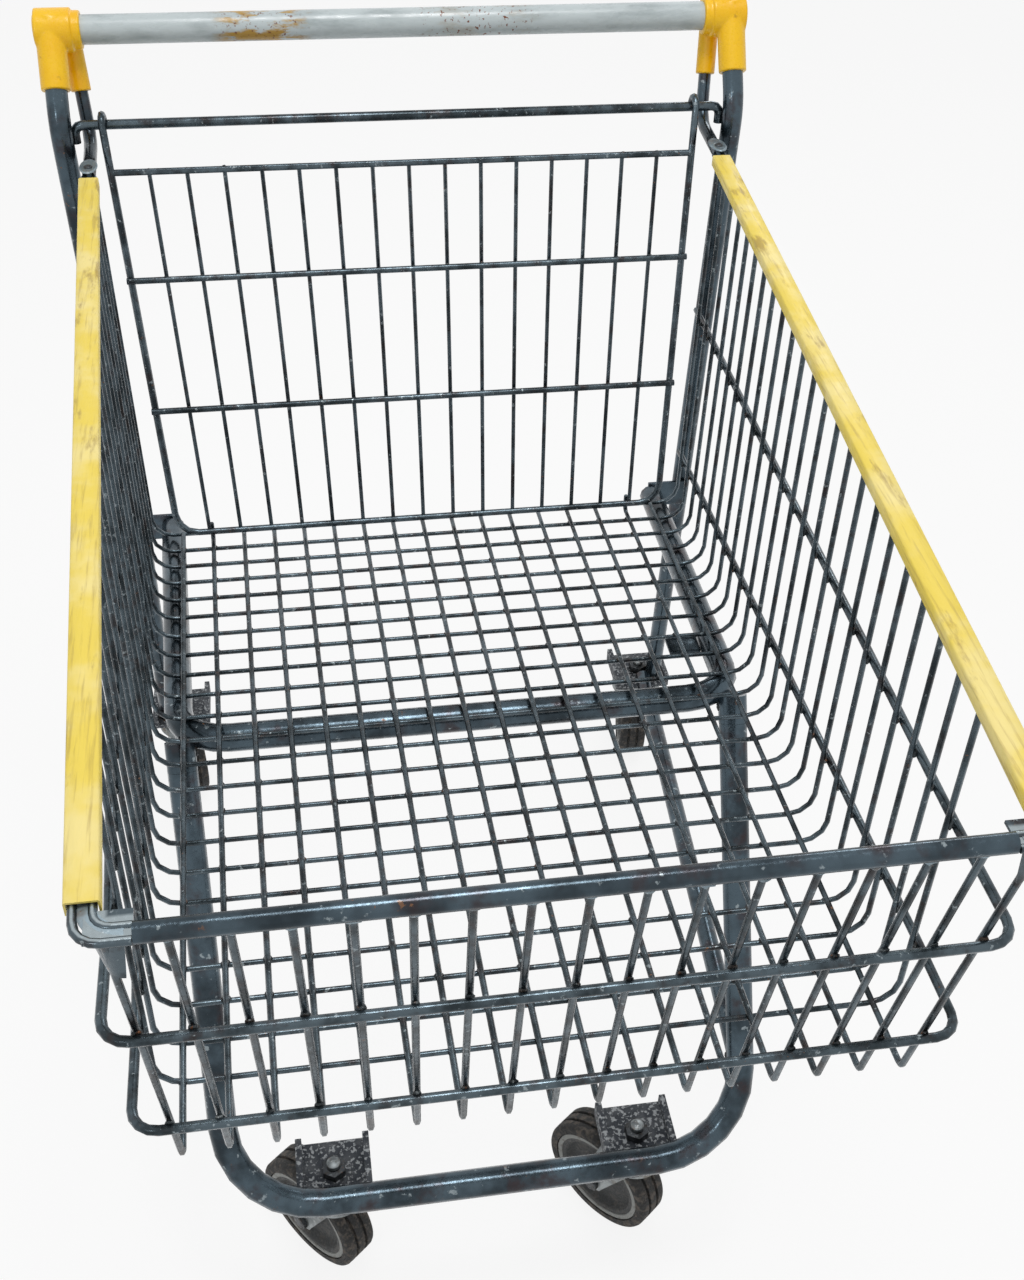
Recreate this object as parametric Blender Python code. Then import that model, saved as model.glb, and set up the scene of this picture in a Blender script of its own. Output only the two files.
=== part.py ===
"""A weathered wire supermarket trolley: basket, hinged rear gate, tube chassis and four swivel castors.

Metres, +Z up. The origin is on the floor, under the middle of the cart's length.
The nose faces -Y and the handle is at +Y.
The cart is symmetric about the plane X = 0, apart from the way that its castors happen to point.
"""

import math

import bmesh
import bpy
from mathutils import Matrix, Vector

# Gap left wherever two separate pieces touch.
TOUCH = 0.0003

# Basket: where it starts and ends, how wide it is and how its floor rises towards the nose.
HOOP_COUNT = 23
RUNNER_COUNT = 17
REAR_HOOP_Y = 0.3635
FRONT_HOOP_Y = -0.376
FLOOR_REAR_Z = 0.5194
FLOOR_SLOPE = 0.12
FLOOR_HALF_REAR = 0.2827
FLOOR_HALF_FRONT = 0.245
HOOP_CORNER_RADIUS = 0.020
HOOP_WIRE = 0.0042
RUNNER_WIRE = 0.0046
EDGE_RUNNER_INSET = 0.030
WELD_SINK = 0.0017
STOP_RISE = 0.018
TIP_Y = -0.432
TIP_RADIUS = 0.006

# Rim: the two wires along each side, and the round bar across the nose.
RIM_REAR_Y = 0.3805
RIM_FRONT_Y = -0.477
RIM_REAR_Z = 0.9017
RIM_FRONT_Z = 0.877
RIM_HALF_REAR = 0.2915
RIM_HALF_FRONT = 0.2412
RIM_WIRE = 0.0050
RIM_SPACING = 0.0090
RIM_CORNER_RADIUS = 0.016
CORNER_PLATE = 0.0020
CORNER_REACH = 0.0100
FRONT_BAR = 0.0115
FRONT_BAR_INSET = 0.0232
FRONT_BAR_HALF = RIM_HALF_FRONT - FRONT_BAR_INSET
FRONT_BAR_WALL = 0.0015
FRONT_BAR_OPEN = 0.0250

# Belts: the two wires that run round the outside of the basket.
BELT_WIRE = 0.0064
UPPER_BELT_REAR_Z = 0.7335
UPPER_BELT_FRONT_Z = 0.781
LOWER_BELT_REAR_Z = 0.5640
LOWER_BELT_FRONT_Z = 0.668
BELT_CORNER_RADIUS = 0.016
BELT_REAR_Y = 0.398
BELT_STEPS = 4

# Bumper strips: plastic channels clipped over the rim wires.
STRIP_WALL = 0.0012
STRIP_DEPTH = 0.0090
STRIP_CLEARANCE = 0.0005
STRIP_REAR_GAP = 0.010
STRIP_FRONT_GAP = 0.018

# Handle, its plastic ends, the uprights and the braces.
HANDLE_Y = 0.478
HANDLE_RISE = 0.0983
HANDLE_Z = RIM_REAR_Z + HANDLE_RISE
HANDLE_BAR = 0.0200
UPRIGHT_TUBE = 0.0200
UPRIGHT_X = 0.3160
CRANK_REACH = 0.0480
CRANK_DROP = 0.0700
UPRIGHT_KNEE_Y = HANDLE_Y - CRANK_REACH
UPRIGHT_KNEE_Z = HANDLE_Z - CRANK_DROP
UPRIGHT_FOOT_X = 0.3050
FOOT_LEAN = 0.0030
UPRIGHT_FOOT_Y = UPRIGHT_KNEE_Y - FOOT_LEAN
UPRIGHT_FOOT_Z = 0.4800
END_OVERHANG = 0.0130
END_HALF_SPAN = UPRIGHT_X + END_OVERHANG
END_BARREL = 0.0380
END_BARREL_LENGTH = 0.0320
END_COLLAR = 0.0330
END_COLLAR_LENGTH = 0.0080
GRIP_OUTER = 0.0256
GRIP_SEAT = 0.0045
GRIP_HALF = END_HALF_SPAN - END_BARREL_LENGTH - END_COLLAR_LENGTH + GRIP_SEAT
BORE_CLEARANCE = 0.0004
CUT_MARGIN = 0.0100
SLEEVE_WALL = 0.0032
SLEEVE_DROP = 0.0420
UPRIGHT_BEND = 0.060
UPRIGHT_SEAT_OUT = 0.0175
UPRIGHT_SEAT_AHEAD = 0.0145
BRACE_TUBE = 0.0120
BRACE_TOP_INSIDE = 0.0160
BRACE_TOP_BEHIND = 0.0080
BRACE_TOP_BELOW = 0.0300
BRACE_TOP = (UPRIGHT_X - BRACE_TOP_INSIDE, HANDLE_Y + BRACE_TOP_BEHIND, HANDLE_Z - BRACE_TOP_BELOW)
BRACE_KNEE_OUTSIDE = 0.0025
BRACE_KNEE_AHEAD = 0.0180
BRACE_KNEE_ABOVE = 0.0043
BRACE_KNEE = (RIM_HALF_REAR + BRACE_KNEE_OUTSIDE, HANDLE_Y - BRACE_KNEE_AHEAD, RIM_REAR_Z + BRACE_KNEE_ABOVE)
BRACE_BEND = 0.030
WING_RISE = 0.0200
WING_DROP = 0.0260

# Gate: a hinged panel of wire that hangs from a rod and swings up into the basket.
ROD_WIRE = 0.0090
ROD_BEHIND_KNEE = 0.0100
ROD_BELOW_KNEE = 0.0025
ROD_Y = UPRIGHT_KNEE_Y + ROD_BEHIND_KNEE
ROD_Z = UPRIGHT_KNEE_Z - ROD_BELOW_KNEE
ROD_END_DROP = 0.016
GATE_LEAN = math.radians(13.0)
GATE_LENGTH = 0.4020
GATE_TOP_INSET = 0.0150
GATE_HALF_TOP = RIM_HALF_REAR - GATE_TOP_INSET
GATE_BOTTOM_INSET = 0.0275
GATE_HALF_BOTTOM = FLOOR_HALF_REAR - GATE_BOTTOM_INSET
GATE_POST = 0.0070
GATE_BAR = 0.0064
GATE_WIRE = 0.0040
GATE_WIRE_COUNT = 15
GATE_TOP_BAR = 0.0415
GATE_SECOND_BAR = 0.1400
GATE_THIRD_BAR = 0.2690
GATE_CORNER_RADIUS = 0.022
HOOK_CLEARANCE = 0.0006
HOOK_RADIUS = ROD_WIRE / 2 + HOOK_CLEARANCE + GATE_POST / 2
HOOK_START = math.radians(-25.0)
HOOK_STEPS = 7

# Chassis tubes.
LOOP_TUBE = 0.0260
LOOP_BAR_Y = -0.2170
LOOP_BAR_Z = 0.1700
LOOP_HALF = 0.2400
LOOP_CORNER_RADIUS = 0.085
FLOOR_TUBE = 0.0250
FLOOR_TUBE_CROSS_Y = 0.0120
FLOOR_TUBE_INSET = HOOP_CORNER_RADIUS * 0.9
FLOOR_TUBE_RADIUS = 0.045
RAIL_TUBE = 0.0200
RAIL_FRONT_Z = 0.2400
FOOT_BRACKET = (0.0040, 0.0440, 0.0300)
SIDE_TAB = (0.0300, 0.0240, 0.0030)
SIDE_TAB_Y = 0.1000

# Castors.
WHEEL_RADIUS = 0.0625
TREAD_WIDTH = 0.0340
TREAD_DEPTH = 0.0100
TREAD_GROOVE = 0.0030
TREAD_GROOVE_WIDTH = 0.0030
CORE_WIDTH = 0.0300
HUB_RADIUS = 0.0140
HUB_WIDTH = 0.0350
AXLE_RADIUS = 0.0050
AXLE_HEAD = 0.0045
WEB = 0.0160
CORE_RIM = 0.0085
CORE_DRAFT = 0.0030
FORK_BOSS_RADIUS = 0.0130
TREAD_EDGE = 0.0020
CASTOR_TRAIL = 0.0300
FORK_GAP = 0.0012
FORK_SHEET = 0.0030
FORK_CROWN_Z = 0.1350
FORK_SHOULDER = 0.0120
CROWN_RADIUS = 0.0290
RACE_RADIUS = 0.0240
PLATE_SHEET = 0.0060
PLATE_Z = LOOP_BAR_Z - LOOP_TUBE / 2 - TOUCH - PLATE_SHEET
PLATE_SIZE = 0.0640
PLATE_FLANGE = 0.0180
KING_BOLT = 0.0130
KING_HEAD_HEIGHT = 0.0055
KING_NUT_ACROSS = 0.0210
KING_NUT_HEIGHT = 0.0090
KING_BOLT_END = 0.0060
FRONT_CASTOR_X = 0.1460
FRONT_CASTOR_Y = -0.1790
REAR_CASTOR_X = 0.3000
REAR_CASTOR_Y = 0.5050
CASTOR_TURNS = {"front_left": 140.0, "front_right": 142.0, "rear_left": 168.0, "rear_right": 190.0}

# Facets on the round pieces.
WIRE_FACETS = 6
BAR_FACETS = 8
TUBE_FACETS = 12
WHEEL_FACETS = 20
MOULDED_FACETS = 16
GRIP_FACETS = 16
FORK_FACETS = 20
AXLE_FACETS = 10
NUT_FACETS = 6


def clear_scene():
    """Remove every object that the new scene starts with."""
    for obj in list(bpy.data.objects):
        bpy.data.objects.remove(obj, do_unlink=True)


def material(name, colour, roughness, metallic):
    """A Principled material with one colour."""
    made = bpy.data.materials.new(name)
    made.use_nodes = True
    shader = made.node_tree.nodes["Principled BSDF"]
    shader.inputs["Base Color"].default_value = (*colour, 1.0)
    shader.inputs["Roughness"].default_value = roughness
    shader.inputs["Metallic"].default_value = metallic
    made.diffuse_color = (*colour, 1.0)
    return made


FINISHES = {
    "wire": ((0.075, 0.090, 0.095), 0.45, 0.8),
    "tube": ((0.085, 0.105, 0.115), 0.42, 0.8),
    "zinc": ((0.33, 0.34, 0.34), 0.50, 0.9),
    "cast": ((0.11, 0.11, 0.11), 0.70, 0.6),
    "bolt": ((0.06, 0.06, 0.06), 0.50, 0.8),
    "yellow_plastic": ((0.85, 0.52, 0.04), 0.45, 0.0),
    "grey_plastic": ((0.55, 0.58, 0.55), 0.45, 0.0),
    "rubber": ((0.025, 0.026, 0.027), 0.75, 0.0),
    "nylon": ((0.20, 0.21, 0.21), 0.55, 0.0),
}


def finish(obj, kind):
    """Give an object its own material of one of the finishes."""
    colour, roughness, metallic = FINISHES[kind]
    obj.data.materials.clear()
    obj.data.materials.append(material(f"{obj.name}_{kind}", colour, roughness, metallic))
    return obj


def add_object(name, mesh):
    """Link a mesh into the scene as a named object."""
    obj = bpy.data.objects.new(name, mesh)
    bpy.context.scene.collection.objects.link(obj)
    return obj


def smooth(mesh, angle=40.0):
    """Shade a mesh smooth, with its sharp edges kept."""
    mesh.shade_smooth()
    mesh.set_sharp_from_angle(angle=math.radians(angle))
    return mesh


def rounded(points, radius, steps=3):
    """The corner points of a bent wire, with each inner corner made an arc of the given radius."""
    corners = [Vector(p) for p in points]
    route = [corners[0]]
    for before, corner, after in zip(corners, corners[1:], corners[2:]):
        into = (before - corner).normalized()
        out = (after - corner).normalized()
        half = into.angle(out) / 2
        setback = min(radius / math.tan(half), (before - corner).length * 0.48, (after - corner).length * 0.48)
        bend = setback * math.tan(half)
        centre = corner + (into + out).normalized() * (bend / math.sin(half))
        start = corner + into * setback - centre
        end = corner + out * setback - centre
        turn = start.angle(end)
        for step in range(steps + 1):
            share = step / steps
            blend = (math.sin((1 - share) * turn) * start + math.sin(share * turn) * end) / math.sin(turn)
            route.append(centre + blend)
    route.append(corners[-1])
    return route


def swept(name, routes, diameter, facets):
    """A mesh of round wires, one along each route, made as a bevelled curve with filled caps."""
    curve = bpy.data.curves.new(name, "CURVE")
    curve.dimensions = "3D"
    curve.bevel_depth = diameter / 2
    curve.bevel_resolution = facets // 2 - 2
    curve.use_fill_caps = True
    for route in routes:
        spline = curve.splines.new("POLY")
        spline.points.add(len(route) - 1)
        for point, place in zip(spline.points, route):
            point.co = (*place, 1.0)
    guide = bpy.data.objects.new(f"{name}_route", curve)
    bpy.context.scene.collection.objects.link(guide)
    bpy.context.view_layer.update()
    mesh = bpy.data.meshes.new_from_object(guide.evaluated_get(bpy.context.evaluated_depsgraph_get()))
    mesh.name = name
    bpy.data.objects.remove(guide, do_unlink=True)
    welded = bmesh.new()
    welded.from_mesh(mesh)
    bmesh.ops.remove_doubles(welded, verts=welded.verts, dist=1e-6)
    bmesh.ops.recalc_face_normals(welded, faces=welded.faces)
    welded.to_mesh(mesh)
    welded.free()
    return smooth(mesh)


def rod(name, start, end, radius, facets=TUBE_FACETS, phase=0.0):
    """A straight round bar from one point to another."""
    start = Vector(start)
    axis = Vector(end) - start
    bar = bmesh.new()
    turned = Matrix.Rotation(phase, 4, "Z")
    place = Matrix.Translation(start + axis / 2) @ axis.to_track_quat("Z", "Y").to_matrix().to_4x4() @ turned
    bmesh.ops.create_cone(
        bar, cap_ends=True, segments=facets, radius1=radius, radius2=radius, depth=axis.length, matrix=place
    )
    mesh = bpy.data.meshes.new(name)
    bar.to_mesh(mesh)
    bar.free()
    return smooth(mesh)


def block(name, low, high):
    """A rectangular block between two corners."""
    low, high = Vector(low), Vector(high)
    solid = bmesh.new()
    size = high - low
    place = Matrix.Translation((low + high) / 2) @ Matrix.Diagonal((*size, 1.0))
    bmesh.ops.create_cube(solid, size=1.0, matrix=place)
    mesh = bpy.data.meshes.new(name)
    solid.to_mesh(mesh)
    solid.free()
    return mesh


def turned(name, profile, facets, phase=0.0):
    """A ring turned round the X axis from a closed profile of (along, radius) points."""
    ring = bmesh.new()
    corners = [ring.verts.new((along, 0.0, -radius)) for along, radius in profile]
    face = ring.faces.new(corners)
    bmesh.ops.rotate(ring, verts=corners, cent=(0, 0, 0), matrix=Matrix.Rotation(phase, 3, "X"))
    edges = list(face.edges)
    bmesh.ops.delete(ring, geom=[face], context="FACES_ONLY")
    bmesh.ops.spin(
        ring, geom=edges, cent=(0, 0, 0), axis=(1, 0, 0), dvec=(0, 0, 0), angle=math.tau, steps=facets,
        use_merge=True, use_duplicate=False,
    )
    bmesh.ops.remove_doubles(ring, verts=ring.verts, dist=1e-6)
    bmesh.ops.recalc_face_normals(ring, faces=ring.faces)
    mesh = bpy.data.meshes.new(name)
    ring.to_mesh(mesh)
    ring.free()
    return smooth(mesh, 30.0)


def extruded(name, outline, thickness):
    """A flat plate from an outline of (y, z) points, centred on X = 0."""
    plate = bmesh.new()
    face = plate.faces.new([plate.verts.new((-thickness / 2, y, z)) for y, z in outline])
    moved = bmesh.ops.extrude_face_region(plate, geom=[face])
    corners = [item for item in moved["geom"] if isinstance(item, bmesh.types.BMVert)]
    bmesh.ops.translate(plate, verts=corners, vec=(thickness, 0, 0))
    bmesh.ops.recalc_face_normals(plate, faces=plate.faces)
    mesh = bpy.data.meshes.new(name)
    plate.to_mesh(mesh)
    plate.free()
    return mesh


def helper(mesh, place=None):
    """An object that only shapes another one: it stays out of renders."""
    obj = add_object(f"{mesh.name}_helper", mesh)
    if place is not None:
        obj.matrix_world = place
    obj.hide_render = True
    obj.display_type = "WIRE"
    return obj


def shaped(name, kind, base, added=(), cut=()):
    """An object made from a base mesh, with other meshes united with it and then others cut from it."""
    obj = add_object(name, base)
    for operation, meshes in (("UNION", added), ("DIFFERENCE", cut)):
        for mesh in meshes:
            modifier = obj.modifiers.new(mesh.name, "BOOLEAN")
            modifier.operation = operation
            modifier.solver = "EXACT"
            modifier.object = helper(mesh)
    return finish(obj, kind)


def even_facets(obj):
    """Splits an object's many-sided faces into the fullest triangles, so that no facet is a thin splinter."""
    modifier = obj.modifiers.new("even_facets", "TRIANGULATE")
    modifier.quad_method = "BEAUTY"
    modifier.ngon_method = "BEAUTY"
    return obj


def mirrored(point, side):
    """A point of the right half, or the same point on the left half."""
    return Vector((point[0] * side, point[1], point[2]))


SIDES = {"left": -1, "right": 1}


def share(value, start, end):
    """How far a value lies between two others."""
    return (value - start) / (end - start)


def between(start, end, part):
    """The value that lies part of the way between two others."""
    return start + (end - start) * part


def floor_z(y):
    """Height of the hoop wires' centres on the basket floor."""
    return FLOOR_REAR_Z + FLOOR_SLOPE * (REAR_HOOP_Y - y)


def floor_half(y):
    """Half the width of the floor, to the centres of the hoops' legs."""
    return between(FLOOR_HALF_REAR, FLOOR_HALF_FRONT, share(y, REAR_HOOP_Y, FRONT_HOOP_Y))


def rim_half(y):
    """Half the width of the rim, to the middle of its two wires."""
    return between(RIM_HALF_REAR, RIM_HALF_FRONT, share(y, RIM_REAR_Y, RIM_FRONT_Y))


def rim_z(y):
    """Height of the centres of the rim wires."""
    return between(RIM_REAR_Z, RIM_FRONT_Z, share(y, RIM_REAR_Y, RIM_FRONT_Y))


def leg_x(y, z):
    """Where the leg of a hoop is at a height: the legs lean from the floor edge to the inner rim wire."""
    top = rim_half(y) - RIM_SPACING / 2
    return between(floor_half(y), top, share(z, floor_z(y), rim_z(y)))


def runner_z(y):
    """Height of the runners' centres, which lie on the hoops."""
    return floor_z(y) + (HOOP_WIRE + RUNNER_WIRE) / 2 + TOUCH


FRONT_WALL_TOP_Z = RIM_FRONT_Z - FRONT_BAR / 2 - TOUCH


def front_wall_y(z):
    """Where the front wall's wires are at a height."""
    return between(TIP_Y, RIM_FRONT_Y, share(z, runner_z(TIP_Y), FRONT_WALL_TOP_Z))


def hoop_route(y, sink=0.0):
    """A hoop's route: down one wall, across the floor and up the other wall."""
    top_z = rim_z(y) - RIM_WIRE / 2 - TOUCH
    base_z = floor_z(y) + sink
    top = (leg_x(y, top_z), y, top_z)
    corner = (floor_half(y), y, base_z)
    return rounded(
        [mirrored(top, -1), mirrored(corner, -1), mirrored(corner, 1), mirrored(top, 1)], HOOP_CORNER_RADIUS, 3
    )


def gate_point(x, along, off=0.0):
    """A point of the gate: along is the distance down from the hinge, off is the distance towards the nose."""
    out = off + HOOK_RADIUS
    y = ROD_Y - math.sin(GATE_LEAN) * along - math.cos(GATE_LEAN) * out
    z = ROD_Z - math.cos(GATE_LEAN) * along + math.sin(GATE_LEAN) * out
    return Vector((x, y, z))


def gate_half(along):
    """Half the width of the gate, to the centres of its posts."""
    return between(GATE_HALF_TOP, GATE_HALF_BOTTOM, share(along, GATE_TOP_BAR, GATE_LENGTH))


def runner_route(part, has_stop):
    """A runner's route: along the floor, then up the front wall from a sharp bend. Part goes from -1 to 1."""
    lift = -WELD_SINK if abs(part) == 1.0 else 0.0
    back_x = part * (floor_half(REAR_HOOP_Y) - EDGE_RUNNER_INSET)
    front_x = part * (floor_half(FRONT_HOOP_Y) - EDGE_RUNNER_INSET * 0.6)
    top_x = part * (rim_half(RIM_FRONT_Y) - RIM_SPACING)
    tip = Vector((front_x, TIP_Y, runner_z(TIP_Y) + lift))
    top = Vector((top_x, front_wall_y(FRONT_WALL_TOP_Z), FRONT_WALL_TOP_Z))
    if not has_stop:
        return rounded([Vector((back_x, REAR_HOOP_Y, runner_z(REAR_HOOP_Y) + lift)), tip, top], TIP_RADIUS)
    stop_y = gate_point(0, GATE_LENGTH).y + (GATE_POST + RUNNER_WIRE) / 2 + TOUCH
    floor = Vector((back_x, stop_y, runner_z(stop_y) + lift))
    return rounded([floor + Vector((0, 0, STOP_RISE)), floor, tip, top], TIP_RADIUS)


def build_basket():
    """The welded mesh of hoops and runners."""
    hoops = []
    for index in range(HOOP_COUNT):
        y = between(REAR_HOOP_Y, FRONT_HOOP_Y, index / (HOOP_COUNT - 1))
        at_end = index in (0, HOOP_COUNT - 1)
        hoops.append(hoop_route(y, WELD_SINK if at_end else 0.0))
    runners = []
    for index in range(RUNNER_COUNT):
        part = 2 * index / (RUNNER_COUNT - 1) - 1
        runners.append(runner_route(part, index in (1, RUNNER_COUNT - 2)))
    return even_facets(shaped(
        "basket_mesh", "wire", swept("basket_hoops", hoops, HOOP_WIRE, WIRE_FACETS),
        added=[swept("basket_runners", runners, RUNNER_WIRE, WIRE_FACETS)],
    ))


def build_belt(name, rear_z, front_z):
    """A wire that runs along both walls and round the front corners, outside the hoops and the front wall."""
    out = (HOOP_WIRE + BELT_WIRE) / 2 + TOUCH
    front_y = front_wall_y(front_z) - (RUNNER_WIRE + BELT_WIRE) / 2 - 2 * TOUCH
    wall = []
    for step in range(BELT_STEPS + 1):
        y = between(BELT_REAR_Y, FRONT_HOOP_Y, step / BELT_STEPS)
        z = between(rear_z, front_z, share(y, BELT_REAR_Y, FRONT_HOOP_Y))
        wall.append(Vector((leg_x(y, z) + out, y, z)))
    corner = Vector((wall[-1].x, front_y, front_z))
    bend = rounded([mirrored(wall[-1], -1), mirrored(corner, -1), corner, wall[-1]], BELT_CORNER_RADIUS, 4)
    route = [mirrored(p, -1) for p in wall[:-1]] + bend + wall[-2::-1]
    return finish(add_object(name, swept(name, [route], BELT_WIRE, BAR_FACETS)), "wire")


def build_rim(side_name):
    """The two rim wires of one side, with the flat plate between them at the front corner."""
    side = SIDES[side_name]
    half = RIM_SPACING / 2
    end_x = FRONT_BAR_HALF + TOUCH
    routes = []
    for offset, radius in ((half, RIM_CORNER_RADIUS + half), (-half, RIM_CORNER_RADIUS - half)):
        rear = mirrored((RIM_HALF_REAR + offset, RIM_REAR_Y, RIM_REAR_Z), side)
        corner = mirrored((RIM_HALF_FRONT + offset, RIM_FRONT_Y - offset, RIM_FRONT_Z), side)
        inner = mirrored((end_x, RIM_FRONT_Y - offset, RIM_FRONT_Z), side)
        routes.append(rounded([rear, corner, inner], radius, 4))
    low = mirrored((end_x, RIM_FRONT_Y - half, RIM_FRONT_Z - CORNER_PLATE / 2), side)
    high = mirrored((RIM_HALF_FRONT, RIM_FRONT_Y + half + CORNER_REACH, RIM_FRONT_Z + CORNER_PLATE / 2), side)
    corner = block(
        f"corner_{side_name}", (min(low.x, high.x), low.y, low.z), (max(low.x, high.x), high.y, high.z)
    )
    name = f"rim_{side_name}"
    return shaped(name, "wire", swept(name, routes, RIM_WIRE, BAR_FACETS), added=[corner])


def build_front_bar():
    """The tube across the nose, open at both ends, which the front wall's wires reach up to."""
    ends = [(side * FRONT_BAR_HALF, RIM_FRONT_Y, RIM_FRONT_Z) for side in (-1, 1)]
    bores = []
    for side in (-1, 1):
        inside = (side * (FRONT_BAR_HALF - FRONT_BAR_OPEN), RIM_FRONT_Y, RIM_FRONT_Z)
        outside = (side * (FRONT_BAR_HALF + CUT_MARGIN), RIM_FRONT_Y, RIM_FRONT_Z)
        bores.append(rod(f"bore_front_{side}", inside, outside, FRONT_BAR / 2 - FRONT_BAR_WALL))
    return shaped("front_rim_bar", "tube", rod("front_rim_bar", *ends, FRONT_BAR / 2), cut=bores)


def build_strip(side_name):
    """The plastic channel over the rim wires of one side."""
    side = SIDES[side_name]
    inner = RIM_SPACING / 2 + RIM_WIRE / 2 + STRIP_CLEARANCE
    outer = inner + STRIP_WALL
    roof = RIM_WIRE / 2 + STRIP_CLEARANCE
    top = roof + STRIP_WALL
    bottom = top - STRIP_DEPTH
    soft = STRIP_WALL * 0.8
    profile = [
        (-outer, bottom), (-outer, top - soft), (-outer + soft, top), (outer - soft, top), (outer, top - soft),
        (outer, bottom), (inner, bottom), (inner, roof), (-inner, roof), (-inner, bottom),
    ]
    ends = (RIM_REAR_Y - STRIP_REAR_GAP, RIM_FRONT_Y + STRIP_FRONT_GAP)
    strip = bmesh.new()
    loops = []
    for y in ends:
        loops.append([strip.verts.new((side * (rim_half(y) + x), y, rim_z(y) + z)) for x, z in profile])
    for first, second in zip(range(len(profile)), [*range(1, len(profile)), 0]):
        strip.faces.new((loops[0][first], loops[0][second], loops[1][second], loops[1][first]))
    strip.faces.new(loops[0])
    strip.faces.new(loops[1])
    bmesh.ops.recalc_face_normals(strip, faces=strip.faces)
    name = f"bumper_strip_{side_name}"
    mesh = bpy.data.meshes.new(name)
    strip.to_mesh(mesh)
    strip.free()
    return finish(add_object(name, mesh), "yellow_plastic")


def build_handle():
    """The steel handle bar and the plastic grip sleeved over it."""
    reach = UPRIGHT_X - UPRIGHT_TUBE / 2 - TOUCH
    ends = [(side * reach, HANDLE_Y, HANDLE_Z) for side in (-1, 1)]
    finish(add_object("handle_bar", rod("handle_bar", *ends, HANDLE_BAR / 2)), "tube")
    bore = HANDLE_BAR / 2 + TOUCH
    profile = [(-GRIP_HALF, bore), (-GRIP_HALF, GRIP_OUTER / 2), (GRIP_HALF, GRIP_OUTER / 2), (GRIP_HALF, bore)]
    grip = finish(add_object("handle_grip", turned("handle_grip", profile, GRIP_FACETS)), "grey_plastic")
    grip.location = (0, HANDLE_Y, HANDLE_Z)


def upright_route(side):
    """The centre line of an upright, from the handle down to the rear castor."""
    top = (UPRIGHT_X, HANDLE_Y, HANDLE_Z + UPRIGHT_TUBE / 2)
    knee = (UPRIGHT_X, UPRIGHT_KNEE_Y, UPRIGHT_KNEE_Z)
    foot = (UPRIGHT_FOOT_X, UPRIGHT_FOOT_Y, UPRIGHT_FOOT_Z)
    base = (REAR_CASTOR_X + UPRIGHT_SEAT_OUT, REAR_CASTOR_Y - UPRIGHT_SEAT_AHEAD, PLATE_Z + PLATE_SHEET + TOUCH)
    run = math.hypot(base[0] - foot[0], base[1] - foot[1])
    tilt = math.atan2(run, foot[2] - base[2])
    base = (base[0], base[1], base[2] + UPRIGHT_TUBE / 2 * math.sin(tilt))
    return [mirrored(p, side) for p in (top, knee, foot, base)]


def build_upright(side_name):
    """One of the two bent tubes that carry the handle and stand on the rear castors."""
    name = f"upright_{side_name}"
    route = rounded(upright_route(SIDES[side_name]), UPRIGHT_BEND, 4)
    return finish(add_object(name, swept(name, [route], UPRIGHT_TUBE, TUBE_FACETS)), "tube")


def build_brace(side_name):
    """The thin tube from the handle end down to the rear end of the rim."""
    side = SIDES[side_name]
    name = f"brace_{side_name}"
    top = mirrored(BRACE_TOP, side)
    knee = mirrored(BRACE_KNEE, side)
    slope = (BRACE_KNEE[2] - RIM_REAR_Z) / (BRACE_KNEE[1] - RIM_REAR_Y)
    low = mirrored((RIM_HALF_REAR, RIM_REAR_Y + BRACE_TUBE / 2 * slope + TOUCH, RIM_REAR_Z), side)
    route = rounded([top, knee, low], BRACE_BEND)
    finish(add_object(name, swept(name, [route], BRACE_TUBE, BAR_FACETS)), "tube")


def build_handle_end(side_name):
    """The moulded end of the handle: a barrel for the grip and sleeves for the upright and the brace."""
    side = SIDES[side_name]
    name = f"handle_end_{side_name}"
    inner = mirrored((END_HALF_SPAN - END_BARREL_LENGTH, HANDLE_Y, HANDLE_Z), side)
    outer = mirrored((END_HALF_SPAN, HANDLE_Y, HANDLE_Z), side)
    collar = mirrored((END_HALF_SPAN - END_BARREL_LENGTH - END_COLLAR_LENGTH, HANDLE_Y, HANDLE_Z), side)
    barrel = rod(f"barrel_{side_name}", inner, outer, END_BARREL / 2, MOULDED_FACETS)
    neck = rod(f"collar_{side_name}", collar, outer, END_COLLAR / 2, MOULDED_FACETS)
    crown, knee, foot, _ = upright_route(side)
    down = (knee - crown).normalized()
    mouth = crown + down * (SLEEVE_DROP + UPRIGHT_TUBE)
    sleeve = rod(f"sleeve_{side_name}", crown, mouth, UPRIGHT_TUBE / 2 + SLEEVE_WALL, MOULDED_FACETS)
    wing_top = mirrored(BRACE_TOP, side)
    fall = (mirrored(BRACE_KNEE, side) - wing_top).normalized()
    wing_mouth = wing_top + fall * WING_DROP
    wing = rod(f"wing_{side_name}", wing_top - fall * WING_RISE, wing_mouth, BRACE_TUBE / 2 + SLEEVE_WALL)
    inside = collar - (outer - collar).normalized() * CUT_MARGIN
    grip_end = mirrored((GRIP_HALF + TOUCH, HANDLE_Y, HANDLE_Z), side)
    bores = [
        rod(f"bore_bar_{side_name}", inside, outer, HANDLE_BAR / 2 + TOUCH, MOULDED_FACETS),
        rod(f"bore_grip_{side_name}", inside, grip_end, GRIP_OUTER / 2 + TOUCH, GRIP_FACETS),
        rod(f"bore_upright_{side_name}", crown - down * TOUCH, mouth + down * CUT_MARGIN,
            UPRIGHT_TUBE / 2 + BORE_CLEARANCE),
        rod(f"bore_brace_{side_name}", wing_top - fall * TOUCH, wing_mouth + fall * CUT_MARGIN,
            BRACE_TUBE / 2 + BORE_CLEARANCE),
    ]
    shaped(name, "yellow_plastic", barrel, added=[neck, sleeve, wing], cut=bores)


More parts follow.
